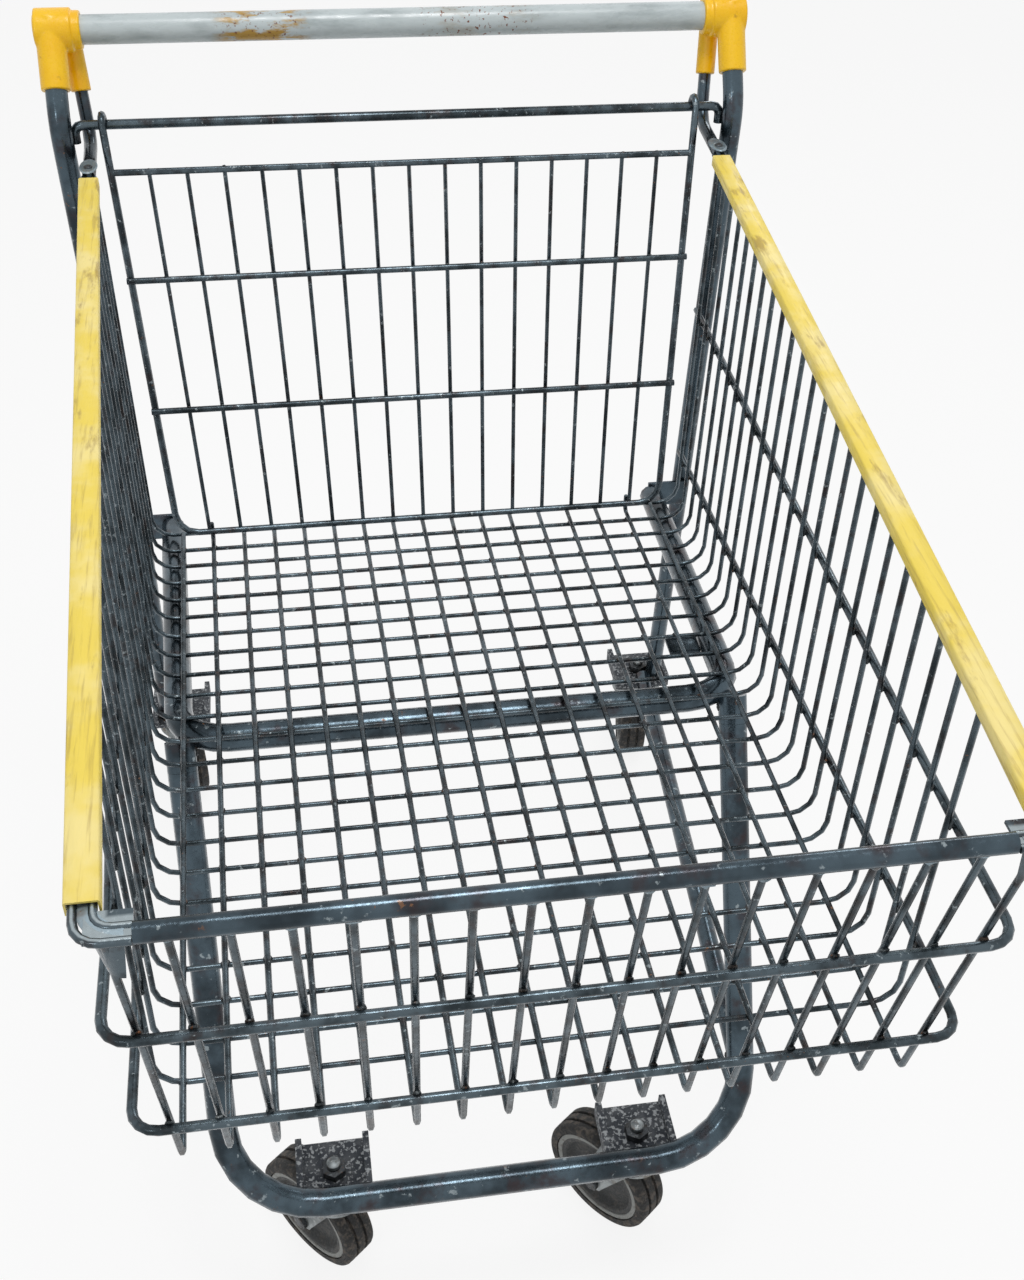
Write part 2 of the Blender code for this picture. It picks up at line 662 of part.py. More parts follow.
def build_hinge_rod():
    """The rod that the gate hangs from, with ends bent down to the uprights."""
    beside = (UPRIGHT_TUBE + ROD_WIRE) / 2 + TOUCH
    reach = UPRIGHT_X - math.sqrt(beside ** 2 - (ROD_Y - UPRIGHT_KNEE_Y) ** 2)
    route = []
    for side in (-1, 1):
        end = Vector((side * reach, ROD_Y, ROD_Z - ROD_END_DROP))
        turn = Vector((side * reach, ROD_Y, ROD_Z))
        route.extend([end, turn] if side < 0 else [turn, end])
    mesh = swept("hinge_rod", [rounded(route, ROD_WIRE * 1.2)], ROD_WIRE, TUBE_FACETS)
    finish(add_object("hinge_rod", mesh), "wire")


def build_gate():
    """The hinged rear panel. Its posts end in hooks that turn on the hinge rod."""
    hook = []
    for step in range(HOOK_STEPS + 1):
        turn = between(HOOK_START, math.pi, step / HOOK_STEPS)
        hook.append((HOOK_RADIUS * (1 + math.cos(turn)) * -1, -HOOK_RADIUS * math.sin(turn)))
    half = gate_half(0.0)
    left = [gate_point(-half, along, off) for off, along in hook]
    lower = [
        gate_point(-gate_half(GATE_LENGTH), GATE_LENGTH), gate_point(gate_half(GATE_LENGTH), GATE_LENGTH),
    ]
    right = [mirrored(p, -1) for p in reversed(left)]
    frame = left[:-1] + rounded([left[-1], *lower, right[0]], GATE_CORNER_RADIUS, 3) + right[1:]
    top = [gate_point(side * gate_half(GATE_TOP_BAR), GATE_TOP_BAR) for side in (-1, 1)]
    front = (GATE_WIRE + GATE_BAR) / 2 + TOUCH
    bars = [top]
    for along in (GATE_SECOND_BAR, GATE_THIRD_BAR):
        reach = gate_half(along) + GATE_POST / 2
        bars.append([gate_point(side * reach, along, front) for side in (-1, 1)])
    wires = []
    for index in range(GATE_WIRE_COUNT):
        part = 2 * (index + 1) / (GATE_WIRE_COUNT + 1) - 1
        wires.append([gate_point(part * gate_half(along), along) for along in (GATE_TOP_BAR, GATE_LENGTH)])
    meshes = [
        swept("gate_frame", [frame], GATE_POST, BAR_FACETS), swept("gate_bars", bars, GATE_BAR, BAR_FACETS),
        swept("gate_wires", wires, GATE_WIRE, WIRE_FACETS),
    ]
    hinge = Matrix.Translation((0, ROD_Y, ROD_Z))
    for mesh in meshes:
        mesh.transform(hinge.inverted())
    move(shaped("gate", "wire", meshes[0], added=meshes[1:]), hinge)


def leg_line(side):
    """The two ends of the front loop's leg: on the front bar's line, and under the floor tube's corner."""
    low = mirrored((LOOP_HALF, LOOP_BAR_Y, LOOP_BAR_Z), side)
    high = mirrored((floor_half(FLOOR_TUBE_CROSS_Y) - FLOOR_TUBE_INSET, FLOOR_TUBE_CROSS_Y, 0), side)
    high.z = floor_tube_z(FLOOR_TUBE_CROSS_Y)
    return low, high


def floor_tube_z(y):
    """Height of the floor tube's centre, just under the hoops."""
    return floor_z(y) - (HOOP_WIRE + FLOOR_TUBE) / 2 - TOUCH


def build_front_loop():
    """The tube across the nose, low down, with legs that rise to the floor tube."""
    route = []
    for side in (-1, 1):
        low, high = leg_line(side)
        back = (high - low).normalized()
        top = high - back * ((LOOP_TUBE + FLOOR_TUBE) / 2 + TOUCH)
        route.extend([top, low] if side < 0 else [low, top])
    mesh = swept("front_loop", [rounded(route, LOOP_CORNER_RADIUS, 6)], LOOP_TUBE, TUBE_FACETS)
    finish(add_object("front_loop", mesh), "tube")


def build_floor_tube():
    """The tube under the edges of the basket floor, from upright to upright, with a cross run."""
    route = []
    for side in (-1, 1):
        rear_y = UPRIGHT_FOOT_Y - UPRIGHT_TUBE / 2 - FOOT_BRACKET[0] - FLOOR_TUBE * FLOOR_SLOPE / 2 - 2 * TOUCH
        rear = mirrored((floor_half(rear_y) - FLOOR_TUBE_INSET, rear_y, floor_tube_z(rear_y)), side)
        turn = mirrored((floor_half(FLOOR_TUBE_CROSS_Y) - FLOOR_TUBE_INSET, FLOOR_TUBE_CROSS_Y, 0), side)
        turn.z = floor_tube_z(FLOOR_TUBE_CROSS_Y)
        route.extend([rear, turn] if side < 0 else [turn, rear])
    mesh = swept("floor_tube", [rounded(route, FLOOR_TUBE_RADIUS, 5)], FLOOR_TUBE, TUBE_FACETS)
    finish(add_object("floor_tube", mesh), "tube")


def build_rail(side_name):
    """The lower side rail, from the rear castor's plate forward to the leg of the front loop."""
    side = SIDES[side_name]
    name = f"lower_rail_{side_name}"
    low, high = leg_line(side)
    joint = low + (high - low) * share(RAIL_FRONT_Z, low.z, high.z)
    seat = PLATE_Z + PLATE_SHEET + TOUCH
    rear = mirrored((REAR_CASTOR_X, REAR_CASTOR_Y - PLATE_SIZE * 0.45, seat + RAIL_TUBE / 2), side)
    back = (rear - joint).normalized()
    meeting = back.angle(high - low)
    front = joint + back * ((LOOP_TUBE + RAIL_TUBE * math.cos(meeting)) / 2 / math.sin(meeting) + 2 * TOUCH)
    finish(add_object(name, rod(name, front, rear, RAIL_TUBE / 2)), "tube")


def build_bracket(side_name):
    """The flat plate that joins an upright to the rear end of the floor tube."""
    side = SIDES[side_name]
    thick, wide, tall = FOOT_BRACKET
    y = UPRIGHT_FOOT_Y - UPRIGHT_TUBE / 2 - TOUCH
    x = side * (floor_half(y) + UPRIGHT_FOOT_X - FLOOR_TUBE_INSET) / 2
    z = floor_tube_z(y)
    name = f"foot_bracket_{side_name}"
    mesh = block(name, (x - wide / 2, y - thick, z - tall / 2), (x + wide / 2, y, z + tall / 2))
    finish(add_object(name, mesh), "tube")


def build_side_tab():
    """A small flat tab on the inner side of the right floor tube."""
    long, wide, thick = SIDE_TAB
    x = floor_half(SIDE_TAB_Y) - FLOOR_TUBE_INSET - FLOOR_TUBE / 2 - 2 * TOUCH
    z = floor_tube_z(SIDE_TAB_Y)
    low = (x - long, SIDE_TAB_Y - wide / 2, z - thick / 2)
    finish(add_object("side_tab", block("side_tab", low, (x, SIDE_TAB_Y + wide / 2, z + thick / 2))), "tube")


def build_castor(name, x, y, flange_start):
    """The pieces of one castor, with its swivel axis at (x, y)."""
    axis = Matrix.Translation((x, y, 0))
    swivel = axis @ Matrix.Rotation(math.radians(-CASTOR_TURNS[name]), 4, "Z")
    build_castor_plate(name, axis, flange_start)
    build_king_bolt(name, axis)
    build_fork(name, swivel)
    build_wheel(name, swivel @ Matrix.Translation((0, -CASTOR_TRAIL, WHEEL_RADIUS)))


def build_castor_plate(name, place, flange_start):
    """The flanged plate that carries the castor. Its flanges start at a distance from its front edge."""
    half = PLATE_SIZE / 2
    top = PLATE_Z + PLATE_SHEET
    sheet = block(f"{name}_sheet", (-half, -half, PLATE_Z), (half, half, top))
    flanges = [
        block(f"{name}_flange_{edge}", (edge * half - PLATE_SHEET / 2, flange_start - half, PLATE_Z + TOUCH),
              (edge * half + PLATE_SHEET / 2, half - TOUCH, PLATE_Z + PLATE_FLANGE))
        for edge in (-1, 1)
    ]
    ends = [(0, 0, PLATE_Z - CUT_MARGIN), (0, 0, top + CUT_MARGIN)]
    bore = rod(f"{name}_plate_bore", *ends, KING_BOLT / 2 + BORE_CLEARANCE)
    plate = shaped(f"castor_{name}_plate", "cast", sheet, added=flanges, cut=[bore])
    move(plate, place)


def build_king_bolt(name, place):
    """The bolt on the swivel axis: a head under the fork's crown and a nut on top of the plate."""
    seat = PLATE_Z + PLATE_SHEET + TOUCH
    under = FORK_CROWN_Z - TOUCH
    nut_top = seat + KING_NUT_HEIGHT
    foot = under - KING_HEAD_HEIGHT / 2
    shank = rod(f"{name}_shank", (0, 0, foot), (0, 0, nut_top + KING_BOLT_END), KING_BOLT / 2)
    nut = rod(f"{name}_nut", (0, 0, seat), (0, 0, nut_top), KING_NUT_ACROSS / math.sqrt(3), NUT_FACETS)
    head = rod(f"{name}_head", (0, 0, under - KING_HEAD_HEIGHT), (0, 0, under), KING_NUT_ACROSS / 2)
    move(shaped(f"castor_{name}_king_bolt", "bolt", shank, added=[nut, head]), place)


def fork_outline():
    """The side view of a fork leg as (y, z) points: wide at the crown, round at the axle."""
    boss = []
    for step in range(6):
        turn = between(math.radians(165), math.radians(355), step / 5)
        y = -CASTOR_TRAIL + FORK_BOSS_RADIUS * math.cos(turn)
        boss.append((y, WHEEL_RADIUS + FORK_BOSS_RADIUS * math.sin(turn)))
    crown = FORK_CROWN_Z + FORK_SHEET
    back = (CROWN_RADIUS * 0.5, FORK_CROWN_Z - FORK_SHOULDER)
    return [(CROWN_RADIUS * 0.6, crown), (-CROWN_RADIUS * 0.8, crown), *boss, back]


def build_fork(name, place):
    """The pressed fork that swivels under the plate, with its ball race on top."""
    leg_x_centre = HUB_WIDTH / 2 + FORK_GAP + FORK_SHEET / 2
    levels = [Vector((0, 0, FORK_CROWN_Z + rise)) for rise in (0, FORK_SHEET / 2, FORK_SHEET)]
    crown = rod(f"{name}_crown", levels[0], levels[2], CROWN_RADIUS, FORK_FACETS)
    race = rod(f"{name}_race", levels[1], (0, 0, PLATE_Z - TOUCH), RACE_RADIUS, FORK_FACETS)
    legs = []
    for edge in (-1, 1):
        leg = extruded(f"{name}_leg_{edge}", fork_outline(), FORK_SHEET)
        leg.transform(Matrix.Translation((edge * leg_x_centre, 0, 0)))
        legs.append(leg)
    reach = leg_x_centre + FORK_SHEET
    bores = [
        rod(f"{name}_axle_bore", (-reach, -CASTOR_TRAIL, WHEEL_RADIUS), (reach, -CASTOR_TRAIL, WHEEL_RADIUS),
            AXLE_RADIUS + BORE_CLEARANCE, AXLE_FACETS),
        rod(f"{name}_king_bore", (0, 0, FORK_CROWN_Z - CUT_MARGIN), (0, 0, PLATE_Z + CUT_MARGIN),
            KING_BOLT / 2 + BORE_CLEARANCE),
    ]
    move(shaped(f"castor_{name}_fork", "zinc", crown, added=[race, *legs], cut=bores), place)


def build_wheel(name, place):
    """The wheel: core, grooved tread and axle bolt, all turned about its own X axis."""
    scale = 1 / math.cos(math.pi / WHEEL_FACETS)
    outer = WHEEL_RADIUS * scale
    seat = (WHEEL_RADIUS - TREAD_DEPTH) * scale
    half = TREAD_WIDTH / 2
    groove = outer - TREAD_GROOVE
    land = half / 3 - TREAD_GROOVE_WIDTH / 2
    dip = half / 3 + TREAD_GROOVE_WIDTH / 2
    edge = [(half - TREAD_EDGE, outer), (half, outer - TREAD_EDGE)]
    right = [(land, outer), (land, groove), (dip, groove), (dip, outer), *edge]
    left = [(-x, r) for x, r in reversed(right)]
    phase = math.pi / WHEEL_FACETS
    tread = turned(f"castor_{name}_tread", [(-half, seat), *left, *right, (half, seat)], WHEEL_FACETS, phase)
    move(finish(add_object(tread.name, tread), "rubber"), place)
    rim = seat - TOUCH
    bore = AXLE_RADIUS + BORE_CLEARANCE
    side = [(HUB_WIDTH / 2, bore), (HUB_WIDTH / 2, HUB_RADIUS), (WEB / 2, HUB_RADIUS + CORE_DRAFT),
            (WEB / 2, rim - CORE_RIM - CORE_DRAFT), (CORE_WIDTH / 2, rim - CORE_RIM), (CORE_WIDTH / 2, rim)]
    profile = side + [(-x, r) for x, r in reversed(side)]
    core = turned(f"castor_{name}_wheel", profile, WHEEL_FACETS, phase)
    move(finish(add_object(core.name, core), "nylon"), place)
    reach = HUB_WIDTH / 2 + FORK_GAP + FORK_SHEET + TOUCH
    tip = reach + AXLE_HEAD * 0.7
    pin = rod(f"{name}_pin", (-tip, 0, 0), (tip, 0, 0), AXLE_RADIUS, AXLE_FACETS)
    heads = [
        rod(f"{name}_axle_head_{edge}", (edge * reach, 0, 0), (edge * (reach + AXLE_HEAD), 0, 0),
            AXLE_RADIUS * 1.8, NUT_FACETS)
        for edge in (-1, 1)
    ]
    move(shaped(f"castor_{name}_axle", "bolt", pin, added=heads), place)


def move(obj, place):
    """Place an object and the helpers that shape it."""
    obj.matrix_world = place
    for modifier in obj.modifiers:
        modifier.object.matrix_world = place
    return obj


def centre_lengthwise():
    """Move everything along Y, so that the origin is under the middle of the cart's length."""
    bpy.context.view_layer.update()
    graph = bpy.context.evaluated_depsgraph_get()
    reach = []
    for obj in bpy.data.objects:
        if not obj.hide_render:
            mesh = obj.evaluated_get(graph).to_mesh()
            reach.extend((obj.matrix_world @ vertex.co).y for vertex in mesh.vertices)
    shift = Matrix.Translation((0, -(min(reach) + max(reach)) / 2, 0))
    for obj in bpy.data.objects:
        obj.matrix_world = shift @ obj.matrix_world


clear_scene()
build_basket()
build_belt("belt_upper", UPPER_BELT_REAR_Z, UPPER_BELT_FRONT_Z)
build_belt("belt_lower", LOWER_BELT_REAR_Z, LOWER_BELT_FRONT_Z)
build_front_bar()
build_handle()
build_hinge_rod()
build_gate()
build_front_loop()
build_floor_tube()
for one_side in SIDES:
    build_rim(one_side)
    build_strip(one_side)
    build_upright(one_side)
    build_brace(one_side)
    build_handle_end(one_side)
    build_rail(one_side)
    build_bracket(one_side)
build_side_tab()
for one_side, sign in SIDES.items():
    front_flange = LOOP_BAR_Y + LOOP_TUBE / 2 + 3 * TOUCH - (FRONT_CASTOR_Y - PLATE_SIZE / 2)
    build_castor(f"front_{one_side}", sign * FRONT_CASTOR_X, FRONT_CASTOR_Y, front_flange)
    build_castor(f"rear_{one_side}", sign * REAR_CASTOR_X, REAR_CASTOR_Y, TOUCH)
centre_lengthwise()
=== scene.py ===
"""Looks of a weathered wire shopping trolley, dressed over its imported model.

Metres, +Z up, the nose towards -Y. Every piece rides on the body that carries it.
"""

import logging
import math
from dataclasses import dataclass, field
from enum import Enum
from typing import Any

import bmesh
import bpy
from mathutils import Matrix, Vector, noise

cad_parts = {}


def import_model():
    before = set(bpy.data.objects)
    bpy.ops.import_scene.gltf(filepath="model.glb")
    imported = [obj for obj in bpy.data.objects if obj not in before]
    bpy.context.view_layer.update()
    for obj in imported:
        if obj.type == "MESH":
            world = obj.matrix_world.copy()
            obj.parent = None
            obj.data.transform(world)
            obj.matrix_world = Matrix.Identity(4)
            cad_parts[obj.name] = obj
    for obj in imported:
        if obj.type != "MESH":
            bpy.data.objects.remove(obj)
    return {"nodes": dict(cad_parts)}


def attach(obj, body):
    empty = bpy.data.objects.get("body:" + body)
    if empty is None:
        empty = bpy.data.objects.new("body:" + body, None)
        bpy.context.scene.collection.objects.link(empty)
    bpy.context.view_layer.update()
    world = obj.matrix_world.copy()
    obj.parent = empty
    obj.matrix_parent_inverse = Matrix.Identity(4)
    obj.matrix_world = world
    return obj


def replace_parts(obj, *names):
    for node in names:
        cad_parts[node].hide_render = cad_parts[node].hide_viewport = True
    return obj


log = logging.getLogger("trolley")

Tree, Socket, Node = bpy.types.NodeTree, bpy.types.NodeSocket, bpy.types.Node
Material, Shape = bpy.types.Material, bmesh.types.BMesh

# Offset along Y from the design's own zero to the origin under the middle of the length.
LENGTH_SHIFT = -0.05735
NOISE_ROUGHNESS = 0.6
# Corners that lie closer than this are one corner, in metres.
SAME_POINT = 1e-6
# Edges blunter than these are shaded round: on the drawn tubes, and on the pieces made here.
ROUND_BELOW = math.radians(64)
PIECE_ROUND_BELOW = math.radians(42)
# Edges sharper than this are the ones that get a small bevel.
BEVEL_ABOVE = math.radians(50)
# How much weld drops differ in size and how lumpy each is, as shares, with how fast the noise runs.
BEAD_SPREAD, BEAD_SPREAD_PER_METRE = 0.25, 400.0
BEAD_LUMPS, BEAD_LUMPS_PER_METRE = 0.3, 900.0
# Half sizes of a weld drop as multiples of its bead, by where it sits.
FLOOR_WELD = Vector((1.25, 1.25, 0.75))
RIM_WELD = Vector((1.3, 1.5, 0.8))
BELT_WELD = Vector((0.8, 1.2, 1.4))
FRONT_WELD = Vector((1.2, 0.8, 1.4))
BAR_WELD = Vector((1.8, 1.5, 1.1))
GATE_WELD = Vector((1.25, 1.0, 1.35))
SEAM_DROP = Vector((1.0, 1.0, 1.0))


class Side(Enum):
    """The two sides of the trolley, with the sign of X."""

    LEFT = -1
    RIGHT = 1

    @property
    def word(self) -> str:
        """Its name in lower case, as the CAD nodes have it."""
        return self.name.lower()


class Corner(Enum):
    """The four castors."""

    FRONT_LEFT = "front_left"
    FRONT_RIGHT = "front_right"
    REAR_LEFT = "rear_left"
    REAR_RIGHT = "rear_right"


def on_side(point: tuple[float, float, float] | Vector, side: Side) -> Vector:
    """A point of the right half, or the same point on the left half."""
    return Vector((point[0] * side.value, point[1], point[2]))


def shifted(point: Vector) -> Vector:
    """A point of the design, in the coordinates of the scene."""
    return point + Vector((0.0, LENGTH_SHIFT, 0.0))


def linear(code: str) -> tuple[float, float, float, float]:
    """Turn an sRGB hex colour to linear.

    Args:
        code: six hex digits, such as "a0b0c0".

    Returns:
        Red, green, blue and an alpha of 1.
    """
    parts = [int(code[at : at + 2], 16) / 255 for at in (0, 2, 4)]
    red, green, blue = (p / 12.92 if p <= 0.04045 else ((p + 0.055) / 1.055) ** 2.4 for p in parts)
    return red, green, blue, 1.0


def add_node(tree: Tree, kind: str, feeds: dict[Any, Any] | None = None, **settings: Any) -> Node:
    """Add a node, set its properties and feed its inputs.

    Args:
        tree: the node tree.
        kind: the node's Blender type.
        feeds: input name or number to a value, or to the socket that links there.
        **settings: the node's own properties.

    Returns:
        The new node.
    """
    node = tree.nodes.new(kind)
    for name, value in settings.items():
        setattr(node, name, value)
    for name, value in (feeds or {}).items():
        if isinstance(value, Socket):
            tree.links.new(value, node.inputs[name])
        else:
            node.inputs[name].default_value = value
    return node


def maths(tree: Tree, operation: str, *feeds: Any) -> Socket:
    """Add a math node with its values or sockets, and give its result."""
    return add_node(tree, "ShaderNodeMath", dict(enumerate(feeds)), operation=operation).outputs[0]


@dataclass
class Paint:
    """A material in the making: its node tree, its shader and the object coordinates."""

    name: str
    made: Material = field(init=False)
    tree: Tree = field(init=False)
    shader: Node = field(init=False)
    place: Socket = field(init=False)

    def __post_init__(self) -> None:
        """Start the material."""
        self.made = bpy.data.materials.new(self.name)
        self.made.use_nodes = True
        self.tree = self.made.node_tree
        self.shader = self.tree.nodes["Principled BSDF"]
        self.place = add_node(self.tree, "ShaderNodeTexCoord").outputs["Object"]

    def feed(self, name: str, value: Socket) -> None:
        """Link a socket to one of the shader's inputs."""
        self.tree.links.new(value, self.shader.inputs[name])

    def maths(self, operation: str, *feeds: Any) -> Socket:
        """Add a math node with its values or sockets, and give its result."""
        return maths(self.tree, operation, *feeds)

    def ramp(self, value: Socket, low: float, high: float, top: float = 1.0, smooth: bool = False) -> Socket:
        """Map low..high onto 0..top and hold it there beyond.

        Args:
            value: the value to map.
            low: what gives 0.
            high: what gives the top.
            top: the largest result.
            smooth: whether the ramp eases in and out.

        Returns:
            The result's socket.
        """
        feeds = {"Value": value, "From Min": low, "From Max": high, "To Max": top}
        kind = "SMOOTHSTEP" if smooth else "LINEAR"
        return add_node(self.tree, "ShaderNodeMapRange", feeds, interpolation_type=kind).outputs["Result"]

    def scaled(self, value: Socket, low: float, high: float) -> Socket:
        """Map a mask from 0..1 onto low..high."""
        feeds = {"Value": value, "To Min": low, "To Max": high}
        return add_node(self.tree, "ShaderNodeMapRange", feeds).outputs["Result"]

    def stretched(self, *scale: float) -> Socket:
        """Scale the coordinates, so that a noise is drawn out along the axis with the small factor."""
        return add_node(self.tree, "ShaderNodeMapping", {"Vector": self.place, "Scale": scale}).outputs[0]

    def spots(
        self, size_mm: float, low: float, high: float, detail: float = 4.0, place: Socket | None = None
    ) -> Socket:
        """Patches of a noise, as a mask from 0 to 1.

        Args:
            size_mm: how large the patches are.
            low: noise value where a patch starts to show.
            high: noise value where a patch is full.
            detail: octaves of the noise.
            place: other coordinates than the object's own.

        Returns:
            The mask's socket.
        """
        feeds = {
            "Vector": place or self.place, "Scale": 1000.0 / size_mm, "Detail": detail, "Roughness": NOISE_ROUGHNESS
        }
        cloud = add_node(self.tree, "ShaderNodeTexNoise", feeds)
        return self.ramp(cloud.outputs["Fac"], low, high, smooth=True)

    def blend(self, mask: Socket, under: str | Socket, over: str, share: float = 1.0) -> Socket:
        """Lay a colour over another by a mask.

        Args:
            mask: where it lies.
            under: the hex colour or the socket below.
            over: the hex colour on top.
            share: how much of it shows where the mask is full.

        Returns:
            The colour socket.
        """
        below = linear(under) if isinstance(under, str) else under
        part = mask if share == 1.0 else self.scaled(mask, 0.0, share)
        return add_node(self.tree, "ShaderNodeMix", {0: part, 6: below, 7: linear(over)}, data_type="RGBA").outputs[2]

    def surface(self, grain: Socket, smooth: float, rough: float, depth_mm: float) -> None:
        """Let a fine grain vary the gloss and raise a bump of a real depth.

        Args:
            grain: the grain's mask.
            smooth: the roughness where the mask is 0.
            rough: the roughness where the mask is 1.
            depth_mm: depth from 0 to 1 of the mask.
        """
        self.feed("Roughness", self.scaled(grain, smooth, rough))
        bump = add_node(self.tree, "ShaderNodeBump", {"Height": grain, "Distance": depth_mm / 1000, "Strength": 1.0})
        self.feed("Normal", bump.outputs["Normal"])


@dataclass(frozen=True)
class Finish:
    """What every finish has: the name of its material. The subclasses build it."""

    name: str


@dataclass(frozen=True)
class WeatheredZinc(Finish):
    """Zinc-plated steel that has stood outdoors: dark and dull, with pale spots, brown tarnish and rust.

    A worn, highlit corner is the x and y of the rim's inner edges at the nose, beyond which its upper faces are
    painted bright: partly wear, and partly a painted highlight on the faces that look up.
    """

    plate: str = "535f66"
    dark: str = "1c2225"
    tarnish: str = "362f2e"
    # Pale colour of worn spots, and of the painted highlight on a worn corner's upper faces.
    rubbed: str = "a7b2b6"
    rust: str = "6f4a2c"
    metallic: float = 0.85
    roughness: float = 0.22
    patch_mm: float = 30.0
    patch_share: float = 0.85
    rubbed_mm: float = 5.0
    rubbed_from: float = 0.62
    rust_from: float = 0.66
    relief_mm: float = 0.03
    worn_highlit_corner: tuple[float, float] | None = None

    def corner_highlight_mask(self, paint: Paint, patches: Socket) -> Socket:
        """Mark the upper faces at the nose corners, worn bright by other trolleys, for a painted highlight on the
        faces that look up.

        Args:
            paint: the material in the making.
            patches: the mask of dark patches, which stay a little darker here.

        Returns:
            1 at the nose end, falling to 0 further back than the corner.
        """
        inner_x, inner_y = self.worn_highlit_corner
        edge, fade, length = 0.001, 0.012, 0.047
        strength, shade = 0.85, 0.5
        slant, flat = 0.90, 0.99
        axes = add_node(paint.tree, "ShaderNodeSeparateXYZ", {"Vector": paint.place}).outputs
        beside = paint.ramp(paint.maths("ABSOLUTE", axes["X"]), inner_x - edge, inner_x + edge)
        before = paint.ramp(axes["Y"], inner_y + edge, inner_y - edge)
        back = inner_y + length
        nose = paint.ramp(axes["Y"], back + fade, back - fade, strength)
        nose = paint.maths("MULTIPLY", nose, paint.maths("MAXIMUM", beside, before))
        # Only faces that look up are made bright here: a painted highlight.
        facing = add_node(paint.tree, "ShaderNodeNewGeometry").outputs["Normal"]
        upward = add_node(paint.tree, "ShaderNodeSeparateXYZ", {"Vector": facing}).outputs["Z"]
        top = paint.maths("MULTIPLY", nose, paint.ramp(upward, slant, flat))
        return paint.maths("MULTIPLY", top, paint.maths("SUBTRACT", 1.0, paint.scaled(patches, 0.0, shade)))

    def build(self) -> Material:
        """Make the material."""
        paint = Paint(self.name)
        patches = paint.spots(self.patch_mm, 0.38, 0.66)
        colour = paint.blend(patches, self.plate, self.dark, self.patch_share)
        brown = paint.spots(self.patch_mm * 0.55, 0.50, 0.70)
        colour = paint.blend(brown, colour, self.tarnish, 0.75)
        pale = paint.spots(self.rubbed_mm, self.rubbed_from, self.rubbed_from + 0.06)
        colour = paint.blend(pale, colour, self.rubbed, 0.55)
        freckles = paint.spots(self.rubbed_mm * 0.9, self.rust_from, self.rust_from + 0.04, 6.0)
        rusty = paint.maths("MULTIPLY", freckles, paint.spots(self.patch_mm * 2.2, 0.48, 0.60))
        colour = paint.blend(rusty, colour, self.rust)
        # Painted highlight: the nose corners' upper faces take the pale worn colour.
        if self.worn_highlit_corner:
            colour = paint.blend(self.corner_highlight_mask(paint, patches), colour, self.rubbed)
        paint.feed("Base Color", colour)
        paint.feed("Metallic", paint.scaled(rusty, self.metallic, 0.0))
        grain = paint.spots(2.5, 0.30, 0.75, 5.0)
        paint.surface(grain, self.roughness - 0.08, self.roughness + 0.16, self.relief_mm)
        return paint.made


@dataclass(frozen=True)
class CorrodedSteel(Finish):
    """Old steel plate by the wheels: near black, pitted, with crusts of white zinc corrosion and dirt."""

    plate: str = "3a3e44"
    dirt: str = "55585c"
    crust: str = "b4b8bb"
    roughness: float = 0.62
    crust_mm: float = 4.0
    crust_from: float = 0.53
    relief_mm: float = 0.7

    def build(self) -> Material:
        """Make the material."""
        paint = Paint(self.name)
        colour = paint.blend(paint.spots(16.0, 0.40, 0.62), self.plate, self.dirt)
        crust = paint.spots(self.crust_mm, self.crust_from, self.crust_from + 0.05, 7.0)
        paint.feed("Base Color", paint.blend(crust, colour, self.crust, 0.8))
        paint.feed("Metallic", paint.scaled(crust, 0.65, 0.0))
        grit = paint.spots(4.0, 0.30, 0.72, 6.0)
        paint.surface(grit, self.roughness - 0.12, self.roughness + 0.2, self.relief_mm)
        return paint.made


@dataclass(frozen=True)
class MouldedPlastic(Finish):
    """Injection-moulded or extruded plastic: even colour, a soft satin gloss, and dirt rubbed into it."""

    colour: str = "f0d658"
    # Paler tone of faded plastic, partly a painted glare.
    faded_and_painted_glare: str = "faebac"
    dirt: str = "8a6a34"
    roughness: float = 0.42
    dirt_mm: float = 14.0
    dirt_from: float = 0.57
    dirt_share: float = 0.6
    rub_share: float = 0.4
    streak: float = 0.25
    relief_mm: float = 0.12

    def build(self) -> Material:
        """Make the material."""
        paint = Paint(self.name)
        paint.shader.inputs["IOR"].default_value = 1.5
        # Large paler patches: faded plastic, and partly a painted glare.
        colour = paint.blend(paint.spots(60.0, 0.40, 0.65), self.colour, self.faded_and_painted_glare, 0.6)
        # Streaks run along the trolley, as hands and neighbouring trolleys rub that way.
        along = paint.stretched(1.0, self.streak, 1.0)
        dirt = paint.spots(self.dirt_mm, self.dirt_from, self.dirt_from + 0.12, 6.0, along)
        colour = paint.blend(dirt, colour, self.dirt, self.dirt_share)
        rubbing = paint.spots(3.2, 0.50, 0.72, 6.0, paint.stretched(1.0, 0.05, 1.0))
        paint.feed("Base Color", paint.blend(rubbing, colour, self.dirt, self.rub_share))
        grain = paint.spots(3.0, 0.25, 0.75, 5.0, along)
        paint.surface(grain, self.roughness - 0.06, self.roughness + 0.18, self.relief_mm)
        return paint.made


